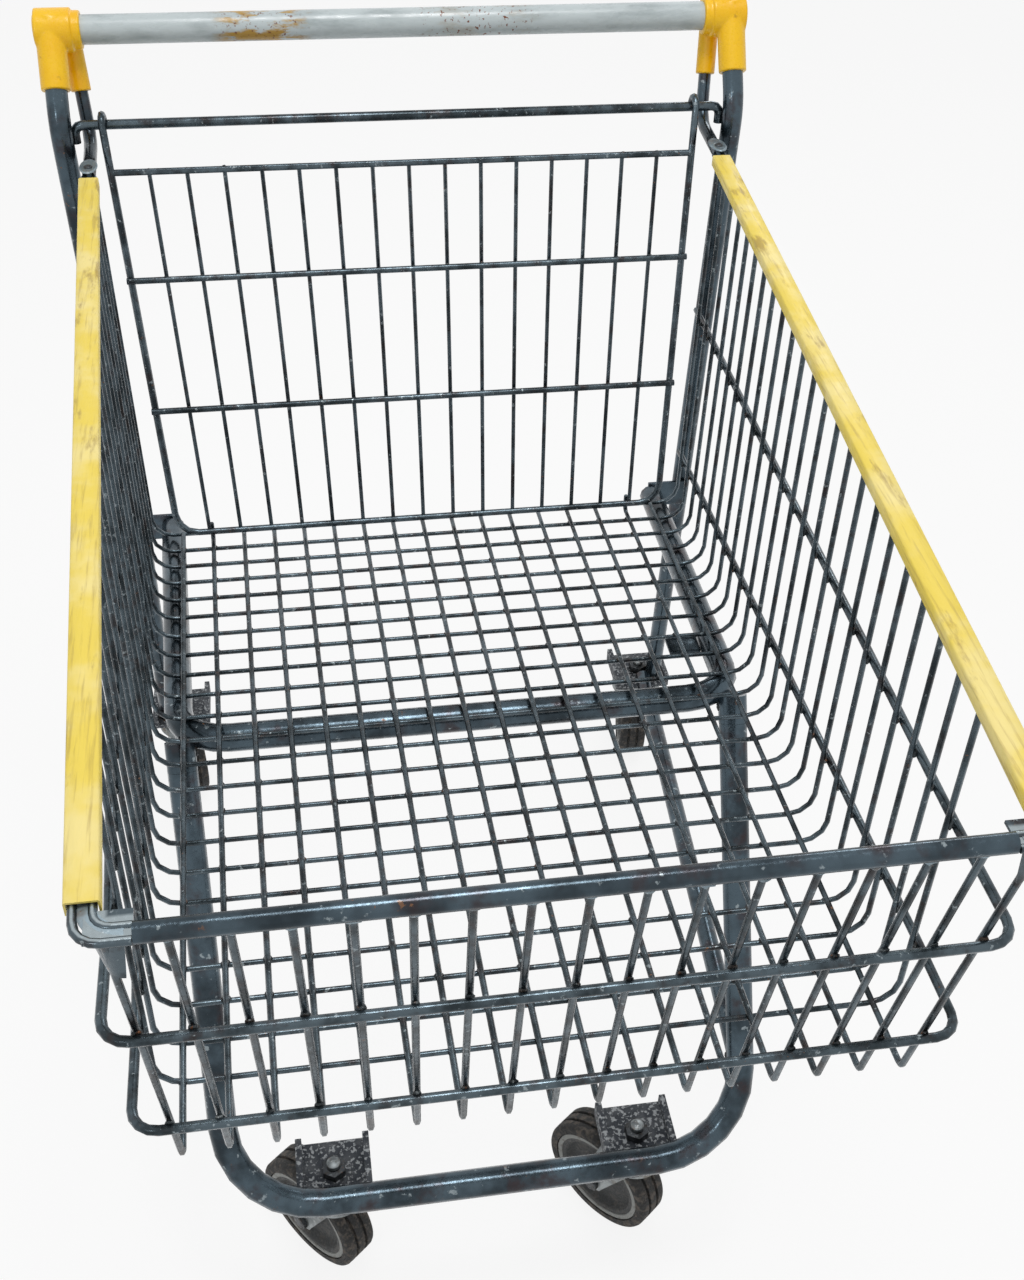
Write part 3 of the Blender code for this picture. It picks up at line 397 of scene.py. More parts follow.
@dataclass(frozen=True)
class WornGrip(Finish):
    """Pale grey extruded PVC sleeve, rubbed glossy by hands, with ochre stains and rust freckles.

    A stain band is its middle across, its reach to each side and its strength.
    """

    colour: str = "bfc9cb"
    shade: str = "8f9a9c"
    stain: str = "b08a38"
    freckle: str = "6e3b1c"
    roughness: float = 0.27
    stain_bands: tuple[tuple[float, float, float], ...] = ((-0.128, 0.050, 1.0), (0.070, 0.068, 0.15))
    relief_mm: float = 0.08

    def build(self) -> Material:
        """Make the material."""
        paint = Paint(self.name)
        paint.shader.inputs["IOR"].default_value = 1.53
        along = paint.stretched(0.35, 1.0, 1.0)
        colour = paint.blend(paint.spots(22.0, 0.42, 0.68, place=along), self.colour, self.shade, 0.7)
        across = add_node(paint.tree, "ShaderNodeSeparateXYZ", {"Vector": paint.place}).outputs["X"]
        stain = paint.spots(11.0, 0.50, 0.60, 6.0, along)
        freckle = paint.spots(3.6, 0.60, 0.66, 3.0)
        for middle, reach, strength in self.stain_bands:
            away = paint.maths("ABSOLUTE", paint.maths("SUBTRACT", across, middle))
            band = paint.ramp(away, reach, reach * 0.5, smooth=True)
            colour = paint.blend(paint.maths("MULTIPLY", stain, band), colour, self.stain, strength)
            colour = paint.blend(paint.maths("MULTIPLY", freckle, band), colour, self.freckle)
        paint.feed("Base Color", colour)
        grain = paint.spots(5.0, 0.3, 0.7, 5.0, along)
        paint.surface(grain, self.roughness - 0.06, self.roughness + 0.14, self.relief_mm)
        return paint.made


@dataclass(frozen=True)
class DustyRubber(Finish):
    """Moulded rubber or dark nylon with road dust on it: black in the grooves, brown-grey where it rolls."""

    colour: str = "232323"
    dust: str = "6a6158"
    roughness: float = 0.78
    dust_from: float = 0.46
    dust_share: float = 0.6
    relief_mm: float = 0.35

    def build(self) -> Material:
        """Make the material."""
        paint = Paint(self.name)
        paint.shader.inputs["IOR"].default_value = 1.52
        dust = paint.spots(8.0, self.dust_from, self.dust_from + 0.18, 7.0)
        paint.feed("Base Color", paint.blend(dust, self.colour, self.dust, self.dust_share))
        grit = paint.spots(2.2, 0.3, 0.7, 6.0)
        paint.surface(grit, self.roughness - 0.1, self.roughness + 0.12, self.relief_mm)
        return paint.made


WIRE = WeatheredZinc("weathered_zinc_wire")
RIM = WeatheredZinc("rim_wire_with_rubbed_nose", worn_highlit_corner=(0.2307, -0.4665 + LENGTH_SHIFT))
TUBE = WeatheredZinc(
    "weathered_zinc_tube", plate="4b5962", dark="161b1f", tarnish="3b3031", roughness=0.19, patch_mm=55.0,
    patch_share=0.75, rubbed_mm=9.0, rubbed_from=0.64, relief_mm=0.02,
)
# Pale steel of the front corners: worn bright, and paler still as a painted sheen.
CORNER_STEEL = WeatheredZinc(
    "worn_zinc_with_painted_sheen", plate="93a4ad", dark="6d7b83", tarnish="6f6660", rubbed="d5dde0", metallic=0.7, roughness=0.4
)
WELD = WeatheredZinc(
    "oxidised_weld", plate="4b5154", dark="24282a", tarnish="4a3b31", rubbed="a3a9aa", rust="7b4a26", roughness=0.5,
    patch_mm=18.0, rubbed_mm=3.5, rubbed_from=0.58, rust_from=0.58, relief_mm=0.4,
)
FORK = WeatheredZinc(
    "pressed_zinc_fork", plate="9da3a4", dark="6b7072", tarnish="6d655b", rubbed="d2d5d4", metallic=0.7,
    roughness=0.44, patch_mm=26.0, relief_mm=0.25,
)
BOLT = WeatheredZinc(
    "greasy_plated_bolt", plate="4a4d50", dark="26282a", tarnish="3a342e", rubbed="8f9496", roughness=0.42,
    patch_mm=12.0, rubbed_mm=4.0, relief_mm=0.3,
)
BRIGHT = WeatheredZinc(
    "bright_bolt_end", plate="8d9395", dark="5d6264", tarnish="77706a", rubbed="dfe2e2", roughness=0.34, patch_mm=8.0,
    rubbed_mm=3.0,
)
PLATE = CorrodedSteel("corroded_castor_plate")
YELLOW_STRIP = MouldedPlastic("extruded_yellow_pvc")
YELLOW_END = MouldedPlastic(
    "moulded_yellow_nylon", colour="f8bd00", faded_and_painted_glare="ffcf10", dirt="9a6a10", roughness=0.26, dirt_from=0.64, streak=1.0,
    rub_share=0.0,
)
GRIP = WornGrip("worn_grey_pvc_sleeve")
TREAD = DustyRubber("dusty_rubber_tread")
CORE = DustyRubber("dark_moulded_wheel_core", colour="2d2f30", dust="5b5650", roughness=0.6, dust_share=0.4)
BAND = DustyRubber(
    "pale_wheel_band", colour="8f918e", dust="5f5a52", roughness=0.55, dust_from=0.50, dust_share=0.7, relief_mm=0.2
)


def round_shading() -> Tree:
    """Make the node group that shades the drawn tubes and wires as round as the real ones.

    Returns:
        The geometry node group.
    """
    group = bpy.data.node_groups.new("round_shading", "GeometryNodeTree")
    for way in ("INPUT", "OUTPUT"):
        group.interface.new_socket("Geometry", in_out=way, socket_type="NodeSocketGeometry")
    source = add_node(group, "NodeGroupInput")
    feeds = {"Geometry": source.outputs[0], "Distance": SAME_POINT}
    joined = add_node(group, "GeometryNodeMergeByDistance", feeds)
    soft = add_node(
        group, "GeometryNodeSetShadeSmooth", {"Geometry": joined.outputs[0], "Shade Smooth": True}, domain="FACE"
    )
    angle = add_node(group, "GeometryNodeInputMeshEdgeAngle")
    crisp = add_node(
        group, "FunctionNodeCompare", {0: angle.outputs["Unsigned Angle"], 1: ROUND_BELOW}, data_type="FLOAT",
        operation="GREATER_THAN",
    )
    done = add_node(
        group, "GeometryNodeSetShadeSmooth",
        {"Geometry": soft.outputs[0], "Selection": crisp.outputs[0], "Shade Smooth": False}, domain="EDGE",
    )
    add_node(group, "NodeGroupOutput", {0: done.outputs[0]})
    return group


def dress(node: str, material: Material, edge_mm: float = 0.0) -> None:
    """Give a CAD node a finish and round shading, and break its edges.

    Args:
        node: the node's name.
        material: the finish.
        edge_mm: how far its sharp edges are rounded, or 0 to leave them.
    """
    obj = FRAME["nodes"][node]
    obj.data.materials.clear()
    obj.data.materials.append(material)
    if edge_mm:
        weld = obj.modifiers.new("edge_weld", "WELD")
        weld.merge_threshold = SAME_POINT
        edge = obj.modifiers.new("edge_round", "BEVEL")
        edge.width = edge_mm / 1000
        edge.segments = 2
        edge.limit_method = "ANGLE"
        edge.angle_limit = BEVEL_ABOVE
    shade = obj.modifiers.new("round_shading", "NODES")
    shade.node_group = bpy.data.node_groups.get("round_shading") or round_shading()


def piece(name: str, shape: Shape, material: Material, body: str) -> bpy.types.Object:
    """Turn a bmesh into a smooth-shaded piece that rides on a body.

    Args:
        name: the piece's name.
        shape: the mesh, which is freed.
        material: its finish.
        body: the CAD body that it rides on.

    Returns:
        The new object.
    """
    bmesh.ops.recalc_face_normals(shape, faces=shape.faces)
    mesh = bpy.data.meshes.new(name)
    shape.to_mesh(mesh)
    shape.free()
    mesh.shade_smooth()
    mesh.set_sharp_from_angle(angle=PIECE_ROUND_BELOW)
    mesh.materials.append(material)
    obj = bpy.data.objects.new(name, mesh)
    bpy.context.scene.collection.objects.link(obj)
    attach(obj, body)
    return obj


def skin(shape: Shape, rings: list[list[Vector]], closed: bool = False) -> None:
    """Add the faces between neighbouring rings of corners.

    Args:
        shape: the mesh to add to.
        rings: the rings, all with the same number of corners.
        closed: whether the last ring meets the first; else a face closes each end.
    """
    rows = [[shape.verts.new(point) for point in ring] for ring in rings]
    count = len(rows[0])
    for first, second in zip(rows, [*rows[1:], *([rows[0]] if closed else [])]):
        for low in range(count):
            high = (low + 1) % count
            shape.faces.new((first[low], first[high], second[high], second[low]))
    if not closed:
        shape.faces.new(rows[0])
        shape.faces.new(rows[-1][::-1])


def turned(shape: Shape, profile: list[tuple[float, float]], place: Matrix, facets: int = 40) -> None:
    """Add a ring that is turned round the local X axis from a closed profile, in metres.

    Args:
        shape: the mesh to add to.
        profile: (along, radius) points.
        place: where the ring goes.
        facets: how many steps round.
    """
    turns = [place @ Matrix.Rotation(math.tau * step / facets, 4, "X") for step in range(facets)]
    rings = [[turn @ Vector((along, 0.0, radius)) for along, radius in profile] for turn in turns]
    skin(shape, rings, closed=True)


def bar(shape: Shape, start: Vector, end: Vector, radius: float, facets: int = 48) -> None:
    """Add a straight round bar.

    Args:
        shape: the mesh to add to.
        start: one end.
        end: the other end.
        radius: its radius.
        facets: how many steps round.
    """
    axis = end - start
    place = Matrix.Translation((start + end) / 2) @ axis.to_track_quat("Z", "Y").to_matrix().to_4x4()
    bmesh.ops.create_cone(
        shape, cap_ends=True, segments=facets, radius1=radius, radius2=radius, depth=axis.length, matrix=place
    )


def circle(centre: Vector, normal: Vector, radius: float, count: int) -> list[Vector]:
    """Points round a circle.

    Args:
        centre: its centre.
        normal: its axis.
        radius: its radius.
        count: how many points.

    Returns:
        The points.
    """
    turn = normal.to_track_quat("Z", "Y")
    rays = [math.tau * step / count for step in range(count)]
    return [centre + turn @ Vector((radius * math.cos(ray), radius * math.sin(ray), 0.0)) for ray in rays]


def lay_bead(shape: Shape, place: Vector, half: Vector) -> None:
    """Add one lumpy drop of weld metal.

    Args:
        shape: the mesh to add to.
        place: its middle, in the design's own coordinates.
        half: its half sizes.
    """
    middle = shifted(place)
    size = half * (1.0 + BEAD_SPREAD * noise.noise(middle * BEAD_SPREAD_PER_METRE))
    put = Matrix.Translation(middle) @ Matrix.Diagonal((*size, 1.0))
    made = bmesh.ops.create_icosphere(shape, subdivisions=2, radius=1.0, matrix=put)
    for vert in made["verts"]:
        vert.co += (vert.co - middle) * BEAD_LUMPS * noise.noise(vert.co * BEAD_LUMPS_PER_METRE)


@dataclass
class Basket:
    """The wire basket: hoops, runners, belts, rim and front bar."""

    hoop_count: int = 23
    runner_count: int = 17
    rear_y: float = 0.3635
    front_y: float = -0.376
    floor_rear_z: float = 0.5194
    floor_rise: float = 0.12
    floor_half: tuple[float, float] = (0.2827, 0.245)
    edge_inset: float = 0.030
    hoop_wire: float = 0.0042
    runner_wire: float = 0.0046
    rim_y: tuple[float, float] = (0.3805, -0.477)
    rim_z: tuple[float, float] = (0.9017, 0.877)
    rim_half: tuple[float, float] = (0.2915, 0.2412)
    rim_spacing: float = 0.0090
    rim_wire: float = 0.0050
    belts: tuple[tuple[float, float], ...] = ((0.7335, 0.781), (0.5640, 0.668))
    belt_rear_y: float = 0.398
    front_bar: float = 0.0115
    tip_y: float = -0.432
    tip_inset: float = 0.6
    bead: float = 0.0024
    corner_reach: float = 0.019
    corner_steps: int = 10
    hoops: list[float] = field(init=False)

    def __post_init__(self) -> None:
        """Work out where the hoops stand."""
        step = (self.front_y - self.rear_y) / (self.hoop_count - 1)
        self.hoops = [self.rear_y + step * index for index in range(self.hoop_count)]

    @staticmethod
    def between(ends: tuple[float, float], part: float) -> float:
        """The value part of the way between two others."""
        return ends[0] + (ends[1] - ends[0]) * part

    def floor_at(self, y: float) -> float:
        """Height of the hoop wires on the floor."""
        return self.floor_rear_z + self.floor_rise * (self.rear_y - y)

    def half_floor_at(self, y: float) -> float:
        """Half the width of the floor."""
        return self.between(self.floor_half, (y - self.rear_y) / (self.front_y - self.rear_y))

    def rim_part(self, y: float) -> float:
        """How far along the rim a place is, from 0 at the rear to 1 at the nose."""
        return (y - self.rim_y[0]) / (self.rim_y[1] - self.rim_y[0])

    def leg_at(self, y: float, z: float) -> float:
        """Half the width between the hoops' legs at a height."""
        top = self.between(self.rim_half, self.rim_part(y)) - self.rim_spacing / 2
        rim = self.between(self.rim_z, self.rim_part(y))
        part = (z - self.floor_at(y)) / (rim - self.floor_at(y))
        return self.between((self.half_floor_at(y), top), part)

    def runner_x(self, part: float, y: float) -> float:
        """Where a runner lies across the floor; part goes from -1 to 1."""
        back = self.half_floor_at(self.rear_y) - self.edge_inset
        front = self.half_floor_at(self.front_y) - self.edge_inset * self.tip_inset
        return part * self.between((back, front), (y - self.rear_y) / (self.tip_y - self.rear_y))

    def front_wall(self, part: float, z: float) -> tuple[float, float]:
        """Where a front wire is at a height.

        Args:
            part: which wire, from -1 to 1.
            z: the height.

        Returns:
            Its x and y.
        """
        low = self.floor_at(self.tip_y)
        up = (z - low) / (self.rim_z[1] - low)
        foot = self.half_floor_at(self.front_y) - self.edge_inset * self.tip_inset
        head = self.rim_half[1] - self.rim_spacing
        return part * self.between((foot, head), up), self.between((self.tip_y, self.rim_y[1]), up)

    def parts(self) -> list[float]:
        """The runners' places across, from -1 to 1."""
        return [2 * index / (self.runner_count - 1) - 1 for index in range(self.runner_count)]

    def weld_places(self) -> list[tuple[Vector, Vector]]:
        """Every crossing that is spot welded.

        Returns:
            Pairs of a place and the bead's half sizes.
        """
        places = []
        for y in self.hoops:
            for part in self.parts():
                z = self.floor_at(y) + self.hoop_wire / 2
                places.append((Vector((self.runner_x(part, y), y, z)), FLOOR_WELD * self.bead))
            rim_under = self.between(self.rim_z, self.rim_part(y)) - self.rim_wire / 2
            for side in Side:
                leg = Vector((side.value * self.leg_at(y, rim_under), y, rim_under))
                places.append((leg, RIM_WELD * self.bead))
                forward = (y - self.belt_rear_y) / (self.front_y - self.belt_rear_y)
                for belt in self.belts:
                    z = self.between(belt, forward)
                    x = side.value * (self.leg_at(y, z) + self.hoop_wire / 2)
                    places.append((Vector((x, y, z)), BELT_WELD * self.bead))
        for part in self.parts():
            for _, front_z in self.belts:
                x, y = self.front_wall(part, front_z)
                places.append((Vector((x, y - self.runner_wire / 2, front_z)), FRONT_WELD * self.bead))
        return places

    def bar_weld_places(self) -> list[tuple[Vector, Vector]]:
        """The welds under the front bar, one at the top of each front wire.

        Returns:
            Pairs of a place and the bead's half sizes.
        """
        places = []
        under = self.rim_z[1] - self.front_bar / 2
        for part in self.parts()[1:-1]:
            x, y = self.front_wall(part, under)
            places.append((Vector((x, y, under - self.bead / 4)), BAR_WELD * self.bead))
        return places

    def build_welds(self, finish: Material, pale: Material) -> None:
        """Make the lumpy spot welds between the wires, and the paler ones under the front bar."""
        for name, places, material in (
            ("basket_spot_welds", self.weld_places(), finish),
            ("front_bar_welds", self.bar_weld_places(), pale),
        ):
            shape = bmesh.new()
            for place, half in places:
                lay_bead(shape, place, half)
            piece(name, shape, material, "frame")

    def corner_rays(self) -> list[Vector]:
        """Directions round a front corner, from the nose to the side, on the right half."""
        turns = [-math.pi / 2 * (1 - step / self.corner_steps) for step in range(self.corner_steps + 1)]
        return [Vector((math.cos(turn), math.sin(turn), 0.0)) for turn in turns]

    def corner_centre(self, lift: float) -> Vector:
        """The middle of the front corner's bend on the right half, at a height over the rim."""
        return Vector((self.rim_half[1] - self.corner_reach, self.rim_y[1] + self.corner_reach, self.rim_z[1] + lift))

    @staticmethod
    def build_sheets(name: str, rings: list[list[Vector]], finish: Material) -> None:
        """Make a sheet at both front corners.

        Args:
            name: the pieces' name.
            rings: the corners of its cross-sections on the right half.
            finish: its steel.
        """
        for side in Side:
            shape = bmesh.new()
            skin(shape, [[shifted(on_side(point, side)) for point in ring] for ring in rings])
            piece(f"{name}_{side.word}", shape, finish, "frame")

    def build_corner_plates(self, finish: Material) -> None:
        """Make the pale worn sheet that fills each front corner between the two rim wires; its paleness is partly a
        painted sheen.
        """
        lift, outward, inward = 0.0012, 0.0048, 0.0052
        tail = Vector((0.0016, 0.012, 0.0004))
        sheet, edge_dip = Vector((0.0, 0.0, 0.0016)), Vector((0.0, 0.0, 0.0006))
        centre = self.corner_centre(lift)
        edges = [
            (centre + ray * (self.corner_reach + outward), centre + ray * (self.corner_reach - inward))
            for ray in self.corner_rays()
        ]
        edges.append((edges[-1][0] + tail, edges[-1][1] + tail))
        rings = []
        for outer, inner in edges:
            top = (outer - edge_dip, (outer + inner) / 2, inner)
            rings.append([*top, *(point - sheet for point in reversed(top))])
        self.build_sheets("corner_sheet", rings, finish)

    def build_corner_gussets(self, finish: Material) -> None:
        """Make the dark sheet under each front corner, narrowing from the rim down to the basket wires."""
        foot_off = Vector((0.003, -0.011, -0.027))
        foot_radius, sheet, rim_gap = 0.010, 0.0012, 0.0030
        centre = self.corner_centre(-rim_gap)
        rings = []
        for ray in self.corner_rays():
            top = centre + ray * (self.corner_reach + rim_gap)
            foot = centre + foot_off + ray * foot_radius
            rings.append([top, foot, foot - ray * sheet, top - ray * sheet])
        self.build_sheets("corner_gusset", rings, finish)

    @staticmethod
    def dress(wire: Material) -> None:
        """Give the basket's CAD nodes their finishes."""
        rim, tube, strip = RIM.build(), TUBE.build(), YELLOW_STRIP.build()
        for node in ("basket_mesh", "belt_lower", "belt_upper"):
            dress(node, wire)
        dress("front_rim_bar", tube)
        for side in Side:
            dress(f"rim_{side.word}", rim)
            dress(f"bumper_strip_{side.word}", strip)

    def build(self) -> None:
        """Make and dress everything on the basket."""
        wire = WIRE.build()
        self.dress(wire)
        # Pale corner steel, its paleness partly a painted sheen; the welds under the front bar use it too.
        corner = CORNER_STEEL.build()
        self.build_welds(WELD.build(), corner)
        self.build_corner_plates(corner)
        self.build_corner_gussets(wire)
        log.info("basket: %d spot welds", len(self.weld_places()))


@dataclass
class Gate:
    """The swinging rear panel and the rod that it hangs from."""

    rod_y: float = 0.4400
    rod_z: float = 0.9275
    lean: float = math.radians(13.0)
    length: float = 0.4020
    offset: float = 0.0086
    half: tuple[float, float] = (0.2765, 0.2552)
    bars: tuple[float, ...] = (0.0415, 0.1400, 0.2690, 0.4020)
    wire_count: int = 15
    cross_off: float = 0.0026
    bead: float = 0.0024

    def point(self, x: float, along: float, off: float = 0.0) -> Vector:
        """A point of the panel: along from the hinge and off it towards the nose."""
        out = off + self.offset
        y = self.rod_y - math.sin(self.lean) * along - math.cos(self.lean) * out
        return Vector((x, y, self.rod_z - math.cos(self.lean) * along + math.sin(self.lean) * out))

    def half_at(self, along: float) -> float:
        """Half the panel's width at a distance from the hinge."""
        part = (along - self.bars[0]) / (self.length - self.bars[0])
        return self.half[0] + (self.half[1] - self.half[0]) * part

    def build(self) -> None:
        """Dress the panel and the rod, and weld the panel's wires."""
        wire = WIRE.build()
        dress("gate", wire)
        dress("hinge_rod", wire)
        shape = bmesh.new()
        for along in self.bars:
            front = self.cross_off if along in self.bars[1:3] else 0.0
            # The lowest bar is bent up into the side posts, so it has no weld at its two ends.
            ends = 1 if along == self.length else 0
            for index in range(ends, self.wire_count + 2 - ends):
                part = 2 * index / (self.wire_count + 1) - 1
                place = self.point(part * self.half_at(along), along, front)
                lay_bead(shape, place, GATE_WELD * self.bead)
        piece("gate_spot_welds", shape, WELD.build(), "gate")
        log.info("gate dressed")


@dataclass
class Handle:
    """The handle: grip, moulded ends, uprights and braces."""

    y: float = 0.478
    z: float = 1.000
    half_span: float = 0.3290
    barrel: float = 0.0380
    barrel_length: float = 0.0320
    collar: float = 0.0330
    collar_length: float = 0.0080
    grip_half: float = 0.2935
    grip_outer: float = 0.0256
    grip_wall: float = 0.0024
    upright: tuple[float, float] = (0.3160, 0.0200)
    knee: tuple[float, float] = (0.4300, 0.9300)
    sleeve: tuple[float, float] = (0.0132, 0.0620)
    brace_top: tuple[float, float, float] = (0.3000, 0.4860, 0.9700)
    brace_knee: tuple[float, float, float] = (0.2940, 0.4600, 0.9060)
    brace_end: tuple[float, float, float] = (0.2915, 0.3812, 0.9017)
    wing: tuple[float, float, float] = (0.0092, 0.0200, 0.0260)
    lug: tuple[float, float, float] = (0.0080, 0.0165, 0.0017)
    lug_off: tuple[float, float, float] = (0.0, 0.0080, 0.0066)
    rivet_off: tuple[float, float, float] = (0.0, -0.0040, 0.0)

    @staticmethod
    def across(point: tuple[float, float, float], side: Side) -> Vector:
        """A point of the design's right half on either side, in the coordinates of the scene."""
        return shifted(on_side(point, side))

    def build_grip(self, finish: Material) -> None:
        """Make the round plastic sleeve with its softened ends."""
        shape = bmesh.new()
        outer, reach, soft = self.grip_outer / 2, self.grip_half, 0.0008
        bore = outer - self.grip_wall
        profile = [
            (-reach, bore), (-reach, outer - soft), (-reach + soft, outer),
            (reach - soft, outer), (reach, outer - soft), (reach, bore),
        ]
        turned(shape, profile, Matrix.Translation((0.0, self.y + LENGTH_SHIFT, self.z)), 64)
        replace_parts(piece("grip_sleeve", shape, finish, "frame"), "handle_grip")

    def build_end(self, side: Side, finish: Material) -> None:
        """Make a moulded end: barrel, collar, sleeve and wing melted into one body with filleted joins.

        Args:
            side: which end.
            finish: its plastic.
        """
        shape = bmesh.new()
        outer = self.across((self.half_span, self.y, self.z), side)
        inner = self.across((self.half_span - self.barrel_length, self.y, self.z), side)
        neck = self.across((self.half_span - self.barrel_length - self.collar_length, self.y, self.z), side)
        bar(shape, inner, outer, self.barrel / 2)
        bar(shape, neck, outer, self.collar / 2)
        crown = self.across((self.upright[0], self.y, self.z + self.upright[1] / 2), side)
        down = (self.across((self.upright[0], *self.knee), side) - crown).normalized()
        bar(shape, crown, crown + down * self.sleeve[1], self.sleeve[0])
        top = self.across(self.brace_top, side)
        fall = (self.across(self.brace_knee, side) - top).normalized()
        bar(shape, top - fall * self.wing[1], top + fall * self.wing[2], self.wing[0])
        obj = piece(f"moulded_end_{side.word}", shape, finish, "frame")
        melt = obj.modifiers.new("mould", "REMESH")
        melt.mode = "VOXEL"
        melt.voxel_size = 0.0009
        melt.use_smooth_shade = True
        fillet = obj.modifiers.new("fillets", "SMOOTH")
        fillet.factor = 0.6
        fillet.iterations = 7
        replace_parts(obj, f"handle_end_{side.word}")

    def build_end_face(self, side: Side, finish: Material, bolt: Material) -> None:
        """Make the raised ring and the screw in an end's outer face.

        Args:
            side: which end.
            finish: the end's plastic.
            bolt: the screw's steel.
        """
        outward = Matrix.Translation(self.across((self.half_span, self.y, self.z), side))
        outward = outward @ Matrix.Rotation(0.0 if side is Side.RIGHT else math.pi, 4, "Z")
        rim = bmesh.new()
        face = [
            (-0.0010, 0.0146), (0.0006, 0.0142), (0.0013, 0.0132), (0.0013, 0.0120),
            (0.0006, 0.0110), (0.0002, 0.0060), (-0.0010, 0.0056),
        ]
        turned(rim, face, outward)
        piece(f"end_face_ring_{side.word}", rim, finish, "frame")
        screw = bmesh.new()
        head = [
            (-0.0010, 0.0012), (-0.0010, 0.0056), (0.0012, 0.0052),
            (0.0022, 0.0036), (0.0024, 0.0020), (0.0012, 0.0012),
        ]
        turned(screw, head, outward, 24)
        piece(f"end_screw_{side.word}", screw, bolt, "frame")

    def build_lug(self, side: Side, finish: Material, bolt: Material) -> None:
        """Make the flattened lug at a brace's lower end, with the rivet through it.

        Args:
            side: which brace.
            finish: the lug's pale worn steel, partly a painted sheen.
            bolt: the rivet's steel.
        """
        end = self.across(self.brace_end, side) + Vector(self.lug_off)
        lug = bmesh.new()
        flat = Matrix.Translation(end) @ Matrix.Diagonal((*self.lug, 1.0))
        bmesh.ops.create_uvsphere(lug, u_segments=40, v_segments=20, radius=1.0, matrix=flat)
        steeper, cut = 1.4, 0.6
        for vert in lug.verts:
            off = (vert.co.z - end.z) / self.lug[2]
            vert.co.z = end.z + self.lug[2] * max(-cut, min(cut, off * steeper))
        piece(f"brace_lug_{side.word}", lug, finish, "frame")
        rivet = bmesh.new()
        up = Matrix.Translation(end + Vector(self.rivet_off)) @ Matrix.Rotation(-math.pi / 2, 4, "Y")
        dome = [(0.0, 0.0004), (0.0, 0.0042), (0.0018, 0.0038), (0.0028, 0.0022), (0.0030, 0.0004)]
        turned(rivet, dome, up, 24)
        piece(f"brace_rivet_{side.word}", rivet, bolt, "frame")

    def build(self) -> None:
        """Make and dress everything on the handle."""
        tube, end, bolt, rubbed = TUBE.build(), YELLOW_END.build(), BOLT.build(), CORNER_STEEL.build()
        dress("handle_bar", tube)
        self.build_grip(GRIP.build())
        for side in Side:
            dress(f"upright_{side.word}", tube)
            dress(f"brace_{side.word}", tube)
            self.build_end(side, end)
            self.build_end_face(side, end, bolt)
            self.build_lug(side, rubbed, bolt)
        log.info("handle made")


@dataclass
class Chassis:
    """The tubes under the basket, with the weld seams where they meet."""

    loop_low: tuple[float, float, float] = (0.2400, -0.2170, 0.1700)
    loop_high: tuple[float, float, float] = (0.24678, 0.0120, 0.54668)
    loop_tube: float = 0.0260
    floor_tube: float = 0.0250
    rail_tube: float = 0.0200
    rail_front_z: float = 0.2400
    rail_rear: tuple[float, float, float] = (0.3000, 0.4762, 0.1670)
    upright_base: tuple[float, float, float] = (0.3175, 0.4905, 0.1570)
    upright_foot: tuple[float, float, float] = (0.3050, 0.4270, 0.4800)
    plate_x: tuple[float, float] = (0.1160, 0.1760)
    bead: float = 0.0022
    head_contact: float = 0.0112
    head_drops: int = 10
    joint_out: float = 0.62
    plate_drops: int = 22
    plate_seam: tuple[float, float] = (0.36, -0.42)

    def build_leg_heads(self, finish: Material) -> None:
        """Run the front loop's legs on up to the outside of the floor tube's bends, where they are welded."""
        for side in Side:
            low, high = on_side(self.loop_low, side), on_side(self.loop_high, side)
            climb = (high - low).normalized()
            top = high - climb * (self.loop_tube + self.floor_tube) / 2
            shape = bmesh.new()
            bar(shape, shifted(top), shifted(high), self.loop_tube / 2)
            piece(f"loop_leg_head_{side.word}", shape, finish, "frame")

    def seam_places(self) -> list[Vector]:
        """Points along every seam of the chassis."""
        places = []
        for side in Side:
            low, high, rear, base, foot = (
                on_side(point, side)
                for point in (self.loop_low, self.loop_high, self.rail_rear, self.upright_base, self.upright_foot)
            )
            climb = (high - low).normalized()
            inward = Vector((-side.value, 1.0, 0.0)).normalized()
            beside = climb.cross(inward).normalized() * self.loop_tube / 4
            for step in range(self.head_drops):
                contact = high + inward * self.head_contact - climb * self.head_contact * step / 6
                places += [contact + beside, contact - beside]
            joint = low + (high - low) * (self.rail_front_z - low.z) / (high.z - low.z)
            back = (rear - joint).normalized()
            places += circle(joint + back * self.loop_tube * self.joint_out, back, self.rail_tube / 2, 24)
            places += circle(base, foot - base, self.rail_tube / 2 + self.bead / 2, 24)
            behind, below = (self.loop_tube * share for share in self.plate_seam)
            for step in range(self.plate_drops + 1):
                across = self.plate_x[0] + (self.plate_x[1] - self.plate_x[0]) * step / self.plate_drops
                places.append(Vector((side.value * across, low.y + behind, low.z + below)))
        return places

    def build(self) -> None:
        """Dress the tubes and lay their seams."""
        tube = TUBE.build()
        for node in ("floor_tube", "front_loop", "lower_rail_left", "lower_rail_right"):
            dress(node, tube)
        for node in ("foot_bracket_left", "foot_bracket_right", "side_tab"):
            dress(node, tube, 0.6)
        shape = bmesh.new()
        places = self.seam_places()
        for place in places:
            lay_bead(shape, place, SEAM_DROP * self.bead)
        piece("chassis_seams", shape, WELD.build(), "frame")
        self.build_leg_heads(tube)
        log.info("chassis: %d drops of seam", len(places))


